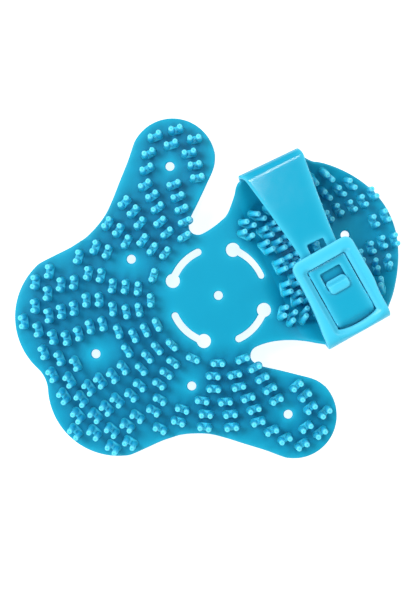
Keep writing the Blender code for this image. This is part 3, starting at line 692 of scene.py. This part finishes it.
def section_of(x, y):
    """Which section a twin pin stands on."""
    if y > FINGER_LINE_Y:
        return "finger"
    if y < HEEL_LINE_Y:
        return "heel"
    line = (SIDE_TOP[0] - SIDE_END[0], SIDE_TOP[1] - SIDE_END[1])
    offset = (abs(x) - SIDE_END[0], y - SIDE_END[1])
    beyond = line[0] * offset[1] - line[1] * offset[0] < 0.0
    if beyond and y < SIDE_TOP[1] and abs(x) > SIDE_SECTION_X:
        return "side_right" if x > 0 else "side_left"
    return "palm"


def near_hole(x, y):
    """Whether a twin pin would stand in the clear ring round a hole."""
    holes = PALM_HOLES + [FINGER_HOLE, SIDE_HOLE, (-SIDE_HOLE[0], SIDE_HOLE[1]), HEEL_HOLE]
    return any(hypot(x - a, y - b) < PIN_TO_HOLE for a, b in holes)


# Half-section of a pin in mm, radius and height: a soft foot, a slight taper, a rolled and dimpled tip.
PIN_PROFILE = [
    (2.02, 0.50), (1.76, 0.86), (1.62, 1.40), (1.56, 2.60), (1.52, 5.00), (1.49, 7.00),
    (1.43, 7.45), (1.26, 7.78), (0.98, 7.95), (0.62, 8.00), (0.38, 7.97), (0.24, 7.86),
    (0.08, 7.80),
]
# The low oblong mound under a pair, in mm: distance from its middle line and height.
MOUND_PROFILE = [
    (2.24, -0.35), (2.12, 0.10), (2.02, 0.46), (1.86, 0.72), (1.60, 0.86), (1.10, 0.92),
]


def lathe(profile, sides):
    """Points of a turned profile, ring by ring."""
    angles = np.arange(sides) * 2.0 * pi / sides
    rings = [np.stack([r * np.cos(angles), r * np.sin(angles), np.full(sides, z)], axis=1)
             for r, z in profile]
    return np.vstack(rings) * MM


def stadium(profile, half_length, sides):
    """Points of a mound with two round ends, ring by ring."""
    rings = []
    for r, z in profile:
        ring = [(half_length + r * MM * cos(a), r * MM * sin(a), z * MM)
                for a in np.linspace(-pi / 2, pi / 2, sides)]
        ring += [(-half_length + r * MM * cos(a), r * MM * sin(a), z * MM)
                 for a in np.linspace(pi / 2, 3 * pi / 2, sides)]
        rings.append(ring)
    return np.vstack([np.array(ring) for ring in rings])


def skin(rings, sides, offset):
    """Quads between rings of points, and a face over each end."""
    faces = []
    for k in range(rings - 1):
        for i in range(sides):
            j = (i + 1) % sides
            faces.append((offset + k * sides + i, offset + k * sides + j,
                          offset + (k + 1) * sides + j, offset + (k + 1) * sides + i))
    faces.append(tuple(offset + i for i in range(sides))[::-1])
    faces.append(tuple(offset + (rings - 1) * sides + i for i in range(sides)))
    return faces


def lobe_lean(x, y):
    """How far pins lean out: fully on the left finger lobe, fading to the right and the palm."""
    share = smooth((y - FINGER_LINE_Y + LOBE_LEAN_START[1]) / LOBE_LEAN_LENGTH)
    share *= smooth((LOBE_LEAN_START[0] - x) / LOBE_LEAN_LENGTH)
    return np.array(LOBE_LEAN) * float(share)


def bristles(name, pairs, place, mat, rng):
    """All the mounds and pins of one section."""
    pin = lathe(PIN_PROFILE, PIN_SIDES)
    mound = stadium(MOUND_PROFILE, PIN_PITCH / 2, MOUND_END_POINTS)
    verts = []
    faces = []
    tips = []
    offset = 0
    for x, y, ring_way in pairs:
        places, normals = place(np.array([(x, y)]))
        up = Vector(normals[0])
        across = Vector((ring_way[0], ring_way[1], 0.0))
        across = (across - across.dot(up) * up).normalized()
        basis = np.array([across, up.cross(across), up])
        verts.append(mound @ basis + places[0])
        faces += skin(len(MOUND_PROFILE), 2 * MOUND_END_POINTS, offset)
        # Painted light: a mound's top is lighter than its sides.
        tips.append(np.where(mound[:, 2] > 0.3 * MM, 0.5, 0.2))
        offset += len(mound)
        for shift in (-0.5, 0.5):
            lean = rng.normal(0.0, PIN_STRAY, 2) + basis[:2] @ lobe_lean(x, y)
            tilted = pin.copy()
            tilted[:, 0] += pin[:, 2] * lean[0] + shift * PIN_PITCH
            tilted[:, 1] += pin[:, 2] * lean[1]
            tilted[:, 2] *= 1.0 + rng.normal(0.0, PIN_HEIGHT_STRAY)
            verts.append(tilted @ basis + places[0])
            faces += skin(len(PIN_PROFILE), PIN_SIDES, offset)
            # Painted light and shade: a pin grows lighter up to its tip, with a darker dot painted as
            # shade in the dimple.
            dimple = (pin[:, 2] > 7.5 * MM) & (np.hypot(pin[:, 0], pin[:, 1]) < 0.45 * MM)
            tips.append(np.where(dimple, 0.6, pin[:, 2] / PIN_HEIGHT))
            offset += len(pin)
    mesh = bpy.data.meshes.new(name)
    mesh.from_pydata([tuple(v) for v in np.vstack(verts)], [], faces)
    tip = mesh.attributes.new("tip", "FLOAT", "POINT")
    tip.data.foreach_set("value", np.concatenate(tips).astype(np.float32))
    return link(name, mesh, mat)


# -------------------- strap and buckle


def fold_slope(side):
    """Angle at which the heel meets a fold."""
    y = STRAP_MIDDLE_Y if side > 0 else BUCKLE_MIDDLE_Y
    _, normals = on_face(bowl)(np.array([(side * float(edge_x(side, y)), y)]))
    return atan2(hypot(normals[0][0], normals[0][1]), normals[0][2])


class Loop:
    """The strap's or the buckle's path from its seam, up, over its fold and level to its end.

    side is +1 for the strap and -1 for the buckle. Plan points are (length along, place across).
    """

    def __init__(self, side, level):
        self.side = side
        self.slope = fold_slope(side)
        y = STRAP_MIDDLE_Y if side > 0 else BUCKLE_MIDDLE_Y
        out = float(edge_x(side, y)) + SHEET / 2 * sin(self.slope)
        up = FOLD_HEIGHT - SHEET / 2 * cos(self.slope)
        self.start = Vector((out, 0.0, up))
        axis_up = up + SETBACK * sin(self.slope)
        self.radius = (level - axis_up) / (1.0 + cos(self.slope))
        self.turn = pi - self.slope
        self.bend = SETBACK + self.radius * self.turn
        self.axis_x = out + SETBACK * cos(self.slope)
        self.crown_x = self.axis_x - self.radius * sin(self.slope)
        self.middle_y = y
        self.skew = 0.0 if side > 0 else BUCKLE_SKEW

    def middle(self, s):
        """Distance out, height and outward normal of the path's middle, at each length s."""
        arc_s = np.clip(s - SETBACK, 0.0, self.radius * self.turn)
        angle = self.slope + arc_s / self.radius
        straight = np.minimum(s, SETBACK)
        level = np.maximum(s - self.bend, 0.0)
        x = self.start.x + straight * cos(self.slope)
        z = self.start.z + straight * sin(self.slope)
        x = x + self.radius * (np.sin(angle) - sin(self.slope)) - level
        z = z - self.radius * (np.cos(angle) - cos(self.slope))
        return x, z, np.sin(angle), -np.cos(angle)

    def place(self, skin_depth):
        """A placing function for sheet(), for the outer face, skin_depth outside the middle."""

        def placed(points):
            x, z, normal_x, normal_z = self.middle(points[:, 0])
            x = x + normal_x * skin_depth
            z = z + normal_z * skin_depth
            return self.to_world(x, points[:, 1], z, normal_x, normal_z)

        return placed

    def to_world(self, x, v, z, normal_x, normal_z):
        """Turns (distance out, place across, height) into the glove's axes."""
        local = x - self.axis_x
        c, s = cos(self.skew), sin(self.skew)
        if self.side > 0:
            places = np.stack([x, v + self.middle_y + PALM_Y, z + PALM_Z], axis=1)
            return places, np.stack([normal_x, np.zeros_like(x), normal_z], axis=1)
        u = -local
        places = np.stack([-self.axis_x + u * c - v * s,
                           self.middle_y + PALM_Y + u * s + v * c, z + PALM_Z], axis=1)
        return places, np.stack([-normal_x * c, -normal_x * s, normal_z], axis=1)


def strap_half_width(x):
    """Half the strap's width, which flares towards the fold."""
    return STRAP_NARROW + STRAP_FLARE * (max(x, 0.0) / STRAP_FLARE_X) ** STRAP_FLARE_POWER


def make_strap(mats):
    """The strap from its seam on the heel to its hidden cut under the buckle's bar."""
    loop = Loop(1, STRAP_TOP - STRAP / 2)
    low, high = STRAP_EDGE_Y[0] - STRAP_MIDDLE_Y, STRAP_EDGE_Y[1] - STRAP_MIDDLE_Y
    end = loop.bend + loop.crown_x - STRAP_END_X
    upper = [(0.0, high), (0.25 * loop.bend, high), (0.45 * loop.bend, high - 0.2 * MM),
             (0.7 * loop.bend, high - 1.0 * MM)]
    lower = [(0.0, low), (0.5 * loop.bend, low)]
    for i in range(15):
        s = loop.bend + (end - loop.bend) * i / 14
        x = loop.crown_x - (s - loop.bend)
        middle = STRAP_NARROW_Y + STRAP_SKEW * x - STRAP_MIDDLE_Y
        upper.append((s, middle + strap_half_width(x)))
        lower.append((s, middle - strap_half_width(x)))
    borders = [
        (seam(lower[0], upper[0]), True),
        (spline(upper)[0], False),
        (spline([upper[-1], lower[-1]])[0], False),
        (spline(lower)[0][::-1], False),
    ]
    hole_s = loop.bend + loop.crown_x - STRAP_HOLE_X
    hole = rounded_rectangle(hole_s, STRAP_NARROW_Y - STRAP_MIDDLE_Y, STRAP_HOLE[0] / 2,
                             STRAP_HOLE[1] / 2, HOLE_CORNER)
    hole = densify(hole)[::-1]

    def depth(points):
        return SHEET + (STRAP - SHEET) * smooth(points[:, 0] / loop.bend)

    strap = sheet("strap_band", borders, [hole], loop.place(STRAP / 2), STRAP_SPACING, depth,
                  STRAP_RIM, mats["strap"])
    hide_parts("wrist_strap")
    low = PALM_Z + loop.start.z
    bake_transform(strap)


def window_loop():
    """The buckle's window: straight on three sides, and bowed towards the fold on the fourth."""
    low = FRAME_MIDDLE_V - WINDOW_HALF_WIDTH
    high = FRAME_MIDDLE_V + WINDOW_HALF_WIDTH
    bow = WINDOW_BOW
    reach = degrees(atan2(WINDOW_HALF_WIDTH, sqrt(bow ** 2 - WINDOW_HALF_WIDTH ** 2)))
    corner = WINDOW_CORNER
    loop = arc((WINDOW_END - corner, low + corner), corner, -90.0, 0.0, 5)
    loop += arc((WINDOW_END - corner, high - corner), corner, 0.0, 90.0, 5)
    loop += arc((WINDOW_START + bow, FRAME_MIDDLE_V), bow, 180.0 - reach, 180.0 + reach, 24)
    return densify(np.array(loop))[::-1]


def make_buckle(mats):
    """The buckle's fold and frame, the strap's tip in its window and the hooked plate."""
    loop = Loop(-1, FRAME_TOP - BRIDGE / 2)
    half = (BUCKLE_EDGE_Y[1] - BUCKLE_EDGE_Y[0]) / 2
    crown_u = loop.axis_x - loop.crown_x
    to_s = loop.bend - crown_u
    low = FRAME_MIDDLE_V - FRAME_HALF_WIDTH
    high = FRAME_MIDDLE_V + FRAME_HALF_WIDTH
    corner = FRAME_CORNER
    end = to_s + FRAME_END
    lower = [(0.0, -half), (0.5 * loop.bend, -half), (loop.bend, -half),
             (to_s + 12.0 * MM, -half - 0.1 * MM), (to_s + 20.0 * MM, low),
             (to_s + 30.0 * MM, low)]
    upper = [(0.0, half), (0.5 * loop.bend, half), (loop.bend, half - 0.1 * MM),
             (to_s + 12.0 * MM, half - 1.2 * MM), (to_s + 22.0 * MM, high + 0.5 * MM),
             (to_s + 32.0 * MM, high)]
    lower += arc((end - corner, low + corner), corner, -90.0, 0.0, 6)
    upper += arc((end - corner, high - corner), corner, 90.0, 0.0, 6)
    borders = [
        (seam(upper[0], lower[0]), True),
        (spline(lower)[0], False),
        (spline([lower[-1], upper[-1]])[0], False),
        (spline(upper)[0][::-1], False),
    ]
    window = window_loop()
    window[:, 0] += to_s
    from_end = np.roll(window, -int(window[:, 0].argmax()), axis=0)
    sloped = segments_of([from_end[from_end[:, 0] < to_s + WINDOW_END - 1.0 * MM]])
    level_place = loop.place(BRIDGE / 2)

    def sink(points):
        """How far the frame slopes down to the strap on three sides of its window."""
        return SINK * (1.0 - smooth(distance(points, *sloped) / SINK_WIDTH))

    def place(points):
        places, normals = level_place(points)
        return places - normals * sink(points)[:, None], normals

    def depth(points):
        bars = smooth((points[:, 0] - loop.bend) / (3.0 * MM))
        bars *= 1.0 - smooth((points[:, 0] - to_s - WINDOW_END + 1.4 * MM) / (0.8 * MM)) * (
            np.abs(points[:, 1] - FRAME_MIDDLE_V) < WINDOW_HALF_WIDTH)
        thick = BRIDGE + (FRAME_TOP - STRAP_TOP + STRAP - BRIDGE) * bars
        return np.maximum(thick - sink(points), FRAME_LEAST)

    buckle = sheet("buckle", borders, [window], place, FRAME_SPACING, depth, FRAME_RIM,
                   mats["buckle"])
    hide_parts("buckle_frame")
    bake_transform(buckle)
    make_strap_tip(mats, loop)
    make_hook(mats, loop)


def make_strap_tip(mats, loop):
    """The strap's end in the window, which dips under the bowed edge."""
    middle = STRAP_TOP - STRAP / 2
    half = STRAP_NARROW + TIP_EXTRA
    start, end = TIP_START, WINDOW_END + 0.1 * MM
    centre = FRAME_MIDDLE_V
    upper = [(start, centre + half - 3.0 * MM), (start + 1.2 * MM, centre + half - 0.9 * MM),
             (start + 4.0 * MM, centre + half), (20.0 * MM, centre + half), (end, centre + half)]
    lower = [(u, 2 * centre - v) for u, v in upper]
    borders = [
        (spline(lower)[0], False),
        (spline([lower[-1], upper[-1]])[0], False),
        (spline(upper)[0][::-1], False),
        (spline([upper[0], lower[0]])[0], False),
    ]
    size = (STRAP_HOLE[0], STRAP_HOLE[1] + TIP_HOLE_EXTRA)
    hole = rounded_rectangle(TIP_HOLE_U, centre, size[0] / 2, size[1] / 2, HOLE_CORNER)
    hole = densify(hole)[::-1]

    def place(points):
        u = points[:, 0]
        sink = 1.0 - smooth((u - TIP_DIP_START) / TIP_DIP_LENGTH)
        step = SLOPE_STEP
        ahead = 1.0 - smooth((u + step - TIP_DIP_START) / TIP_DIP_LENGTH)
        slope = -TIP_DIP * (ahead - sink) / step
        x = loop.axis_x - u
        z = middle + STRAP / 2 - TIP_DIP * sink
        length = np.sqrt(1.0 + slope ** 2)
        return loop.to_world(x, points[:, 1], z, slope / length, 1.0 / length)

    tip = sheet("strap_end", borders, [hole], place, STRAP_SPACING, STRAP, STRAP_RIM,
                mats["strap"])
    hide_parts("strap_tip")
    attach(tip, "buckle")


def make_hook(mats, loop):
    """The floor under the strap's end, and the tongue that rises through the strap's hole."""
    under = STRAP_TOP - STRAP - HOOK_ROOM
    top = STRAP_TOP + TONGUE_RISE

    def placing(height):
        """A placing function for sheet(), level with the strap, at a height of u."""

        def place(points):
            x = loop.axis_x - points[:, 0]
            return loop.to_world(x, points[:, 1], height(points[:, 0]), np.zeros_like(x),
                                 np.ones_like(x))

        return place

    def rise(u):
        """Height of the tongue: a round nose over the strap, then a steep back in the hole."""
        back = smooth((u - TONGUE_BACK_U) / TONGUE_SLOPE)
        nose = np.clip((TONGUE_NOSE_U - u) / TONGUE_SLOPE, 0.0, 1.0)
        return top - (top - STRAP_TOP + 0.4 * MM) * back - 0.9 * MM * nose ** 2

    def tongue_depth(points):
        """The tongue hangs over the strap at its nose, and reaches the floor behind that."""
        u = points[:, 0]
        rooted = smooth((u - TONGUE_ROOT_U) / (0.5 * MM))
        return (rise(u) - STRAP_TOP - 0.2 * MM) * (1.0 - rooted) + (
            rise(u) - under + 0.8 * MM) * rooted

    floor_loop = densify(rounded_rectangle(HOOK_FLOOR_MIDDLE_U, FRAME_MIDDLE_V, HOOK_FLOOR_HALF,
                                           FRAME_HALF_WIDTH - 2.0 * MM, 1.5 * MM))
    floor_loop = np.vstack([floor_loop, floor_loop[:1]])
    # The floor takes the darker pad silicone and the tongue the lighter buckle silicone: the floor's
    # darker colour is painted shade under the strap's end.
    floor = sheet("hook_floor", [(floor_loop, False)], [], placing(lambda u: under + 0.0 * u),
                  1.6 * MM, HOOK_FLOOR, 0.5 * MM, mats["pad"])
    tongue_loop = densify(rounded_rectangle(TONGUE_U, FRAME_MIDDLE_V, *TONGUE_HALF,
                                            TONGUE_CORNER), 0.5 * MM)
    tongue_loop = np.vstack([tongue_loop, tongue_loop[:1]])
    tongue = sheet("hook_tongue", [(tongue_loop, False)], [], placing(rise), 0.5 * MM,
                   tongue_depth, 0.6 * MM, mats["buckle"])
    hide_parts("hook_plate")
    for piece in (floor, tongue):
        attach(piece, "buckle")


# -------------------- pads


def make_pads(mats):
    """A sheet and its bristles for each section, cut at its flex line; the palm's pieces hang on the
    palm's body.
    """
    rng = np.random.default_rng(7)
    web_holes = [hooked_slot(angle) for angle in SLOT_STARTS]
    web_holes += [hole_loop(place, HOLE_RADIUS) for place in PALM_HOLES]
    parts = {
        "palm": ("palm_web", palm_borders(), web_holes, bowl),
        "finger": ("finger_pad", finger_borders(), [hole_loop(FINGER_HOLE, HOLE_RADIUS)], flat),
        "side_right": ("side_pad_right", side_borders(1), [hole_loop(SIDE_HOLE, HOLE_RADIUS)],
                       flat),
        "side_left": ("side_pad_left", side_borders(-1),
                      [hole_loop((-SIDE_HOLE[0], SIDE_HOLE[1]), HOLE_RADIUS)], flat),
        "heel": ("heel_pad", heel_borders(), [hole_loop(HEEL_HOLE, HOLE_RADIUS)], bowl),
    }
    pairs = {}
    for x, y, ring_way in pair_places():
        if not near_hole(x, y):
            pairs.setdefault(section_of(x, y), []).append((x, y, ring_way))
    for key, (node, borders, holes, surface) in parts.items():
        spacing = FINE_SPACING if key in ("heel", "palm") else PAD_SPACING
        skin_piece = sheet(key + "_sheet", borders, holes, on_face(surface), spacing,
                           mat=mats["heel" if key == "heel" else "pad"])
        pins = bristles(key + "_bristles", sorted(pairs[key]), on_face(surface), mats["bristle"],
                        rng)
        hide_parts(node)
        for piece in (skin_piece, pins):
            if key == "palm":
                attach(piece, "palm")
                continue
            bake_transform(piece)


# -------------------- materials


def set_inputs(node, values):
    """Sets some of a node's inputs, by name."""
    for key, value in values.items():
        node.inputs[key].default_value = value


class Nodes:
    """Short calls for building one material's node tree."""

    def __init__(self, name):
        self.mat = bpy.data.materials.new(name)
        self.mat.use_nodes = True
        self.nodes = self.mat.node_tree.nodes
        self.links = self.mat.node_tree.links
        self.shader = self.nodes["Principled BSDF"]
        self.coords = self.nodes.new("ShaderNodeTexCoord")

    def feed(self, socket, source):
        """Sets a socket to a number or a colour, or links it to another socket."""
        if isinstance(source, (int, float)):
            socket.default_value = source
        elif isinstance(source, tuple):
            socket.default_value = (*source, 1.0)
        else:
            self.links.new(source, socket)

    def noise(self, scale, detail, roughness=0.5):
        """A noise that stays fixed to the object."""
        node = self.nodes.new("ShaderNodeTexNoise")
        set_inputs(node, {"Scale": scale, "Detail": detail, "Roughness": roughness})
        self.links.new(self.coords.outputs["Object"], node.inputs["Vector"])
        return node.outputs["Fac"]

    def math(self, operation, *sources, clamp=True):
        """One sum on up to three sources."""
        node = self.nodes.new("ShaderNodeMath")
        node.operation = operation
        node.use_clamp = clamp
        for socket, source in zip(node.inputs, sources):
            self.feed(socket, source)
        return node.outputs[0]

    def mix(self, factor, first, second):
        """A colour between two others."""
        node = self.nodes.new("ShaderNodeMix")
        node.data_type = "RGBA"
        self.feed(node.inputs["Factor"], factor)
        self.feed(node.inputs[6], first)
        self.feed(node.inputs[7], second)
        return node.outputs[2]

    def attribute(self, key):
        """A value that the mesh holds at each point, or 0 where it has none."""
        node = self.nodes.new("ShaderNodeAttribute")
        node.attribute_name = key
        return node.outputs["Fac"]


def silicone(name, shaded_color, middle, light, roughness, shade=1.5, glow=0.0, gloss=0.36):
    """Satin silicone: painted shade where ambient occlusion finds it closed in, painted light at thin
    rims and pin tips.
    """
    tree = Nodes(name)
    # Painted shade: ambient occlusion pulls the colour towards the shaded colour in creases, between
    # pins and under other parts.
    painted_shade_ao = tree.nodes.new("ShaderNodeAmbientOcclusion")
    painted_shade_ao.inputs["Distance"].default_value = 11.0 * MM
    painted_shade_ao.samples = 8
    cloud = tree.math("MULTIPLY_ADD", tree.noise(30.0, 3.0), 0.26, -0.13, clamp=False)
    openness = tree.math("POWER", painted_shade_ao.outputs["AO"], shade)
    openness = tree.math("ADD", openness, cloud)
    body = tree.mix(openness, shaded_color, middle)
    # Painted light at thin rims, from each point's nearness to a free edge.
    rims = tree.math("MULTIPLY", tree.attribute("edge"), 0.7)
    # Painted light on the pins, growing towards their tips, with painted shade in the tip's dimple.
    tips = tree.math("POWER", tree.attribute("tip"), 2.2)
    color = tree.mix(tree.math("ADD", rims, tips), body, light)
    tree.feed(tree.shader.inputs["Base Color"], color)

    smear = tree.noise(110.0, 4.0, 0.6)
    rough = tree.math("MULTIPLY_ADD", smear, 0.2, roughness - 0.1)
    tree.feed(tree.shader.inputs["Roughness"], rough)
    bump = tree.nodes.new("ShaderNodeBump")
    set_inputs(bump, {"Strength": 0.08, "Distance": 0.12 * MM})
    height = tree.math("ADD", tree.noise(2600.0, 2.0), smear, clamp=False)
    tree.feed(bump.inputs["Height"], height)
    tree.feed(tree.shader.inputs["Normal"], bump.outputs["Normal"])
    set_inputs(tree.shader, {"Subsurface Weight": glow, "Subsurface Radius": (0.2, 0.8, 1.0),
                             "Subsurface Scale": 2.5 * MM, "IOR": 1.41,
                             "Specular IOR Level": gloss})
    return tree.mat


def plain_floor():
    """A pale floor that glows a little, as a light table does."""
    mat = bpy.data.materials.new("pale_floor")
    mat.use_nodes = True
    set_inputs(mat.node_tree.nodes["Principled BSDF"], {
        "Base Color": (0.56, 0.57, 0.58, 1.0), "Roughness": 0.9, "Specular IOR Level": 0.1,
        "Emission Color": (1.0, 1.0, 1.0, 1.0), "Emission Strength": 0.78})
    mesh = bpy.data.meshes.new("floor")
    half = 2.5
    mesh.from_pydata([(-half, -half, 0), (half, -half, 0), (half, half, 0), (-half, half, 0)], [],
                     [(0, 1, 2, 3)])
    mesh.materials.append(mat)
    floor = bpy.data.objects.new("floor", mesh)
    bpy.context.scene.collection.objects.link(floor)
    floor.location.z = -0.2 * MM


# -------------------- light and camera

WORLD_LIGHT = 0.30
# Where each light is, its size, its power and the point that it faces.
LIGHTS = {
    "key": ((0.55, 0.45, 0.80), (0.50, 0.50), 7.3, (0.0, 0.0, 0.0)),
    "fill": ((-0.60, 0.50, 0.75), (0.60, 0.60), 4.5, (0.0, 0.0, 0.0)),
    "low": ((0.10, -0.85, 0.70), (0.50, 0.50), 2.5, (0.0, 0.0, 0.0)),
    "gloss": ((0.30, -0.21, 0.93), (0.03, 0.42), 1.4, (0.047, -0.055, 0.03)),
}
# The camera looks straight down. Its place is measured from the palm's middle hole.
CAMERA_PLACE = (2.4 * MM, 5.1 * MM)
CAMERA_HEIGHT = 385.0 * MM
CAMERA_RIGHT = (-0.4305, -0.9026, 0.0)
CAMERA_UP = (0.9026, -0.4305, 0.0)
VIEW_WIDTH = 319.1 * MM
SENSOR = 36.0


def area_light(name, place, size, power, target):
    """An oval lamp that faces its target."""
    light = bpy.data.lights.new(name, "AREA")
    light.shape = "ELLIPSE"
    light.size, light.size_y = size
    light.energy = power
    obj = bpy.data.objects.new(name, light)
    obj.location = place
    way = Vector(target) - Vector(place)
    obj.rotation_euler = way.to_track_quat("-Z", "Y").to_euler()
    bpy.context.scene.collection.objects.link(obj)


def light_scene():
    """A pale studio with three soft lamps and a strip that draws the strap's gloss."""
    world = bpy.data.worlds.new("studio")
    world.use_nodes = True
    set_inputs(world.node_tree.nodes["Background"],
               {"Color": (1.0, 1.0, 1.0, 1.0), "Strength": WORLD_LIGHT})
    bpy.context.scene.world = world
    bpy.context.scene.view_settings.view_transform = "Standard"
    for name, (place, size, power, target) in LIGHTS.items():
        area_light(name, place, size, power, target)


def set_camera():
    """Straight down, with the fingers to the left and a little up, as the glove was shot."""
    right = Vector(CAMERA_RIGHT).normalized()
    up = Vector(CAMERA_UP).normalized()
    camera_data = bpy.data.cameras.new("camera")
    camera_data.sensor_width = SENSOR
    camera_data.lens = SENSOR * CAMERA_HEIGHT / VIEW_WIDTH
    camera_data.clip_start = 0.01
    camera = bpy.data.objects.new("camera", camera_data)
    matrix = Matrix.Identity(4)
    for i in range(3):
        matrix[i][0] = right[i]
        matrix[i][1] = up[i]
    matrix.translation = Vector((CAMERA_PLACE[0], PALM_Y + CAMERA_PLACE[1],
                                 PALM_Z + CAMERA_HEIGHT))
    camera.matrix_world = matrix
    bpy.context.scene.collection.objects.link(camera)
    bpy.context.scene.camera = camera


def main():
    """Builds the whole scene. Each material's colours are its painted shade where closed in, its open
    colour, and its painted light at rims and tips.
    """
    mats = {
        "pad": silicone("pad_silicone", (0.000, 0.090, 0.200), (0.002, 0.325, 0.515),
                        (0.012, 0.470, 0.680), 0.44, 2.0, gloss=0.2),
        # The heel's copy of the pad silicone has a lighter shaded colour and weaker painted shade, so
        # that its bowl reads lighter.
        "heel": silicone("heel_silicone", (0.000, 0.180, 0.325), (0.002, 0.335, 0.525),
                         (0.012, 0.470, 0.680), 0.44, 1.1, gloss=0.2),
        # The bristles' copy of the same silicone is lighter throughout: painted light, so that pins and
        # mounds read lighter than the sheet.
        "bristle": silicone("bristle_silicone", (0.010, 0.480, 0.730), (0.016, 0.560, 0.840),
                            (0.130, 0.720, 0.950), 0.40, 0.7, 0.4),
        "strap": silicone("strap_silicone", (0.002, 0.220, 0.390), (0.006, 0.380, 0.590),
                          (0.090, 0.700, 0.930), 0.14, gloss=0.5),
        # The buckle's copy of the same silicone is lighter: painted light on the raised frame and the
        # hook's tongue.
        "buckle": silicone("buckle_silicone", (0.003, 0.270, 0.460), (0.045, 0.560, 0.810),
                           (0.140, 0.720, 0.950), 0.30),
    }
    set_camera()
    make_pads(mats)
    make_strap(mats)
    make_buckle(mats)
    plain_floor()
    light_scene()


main()
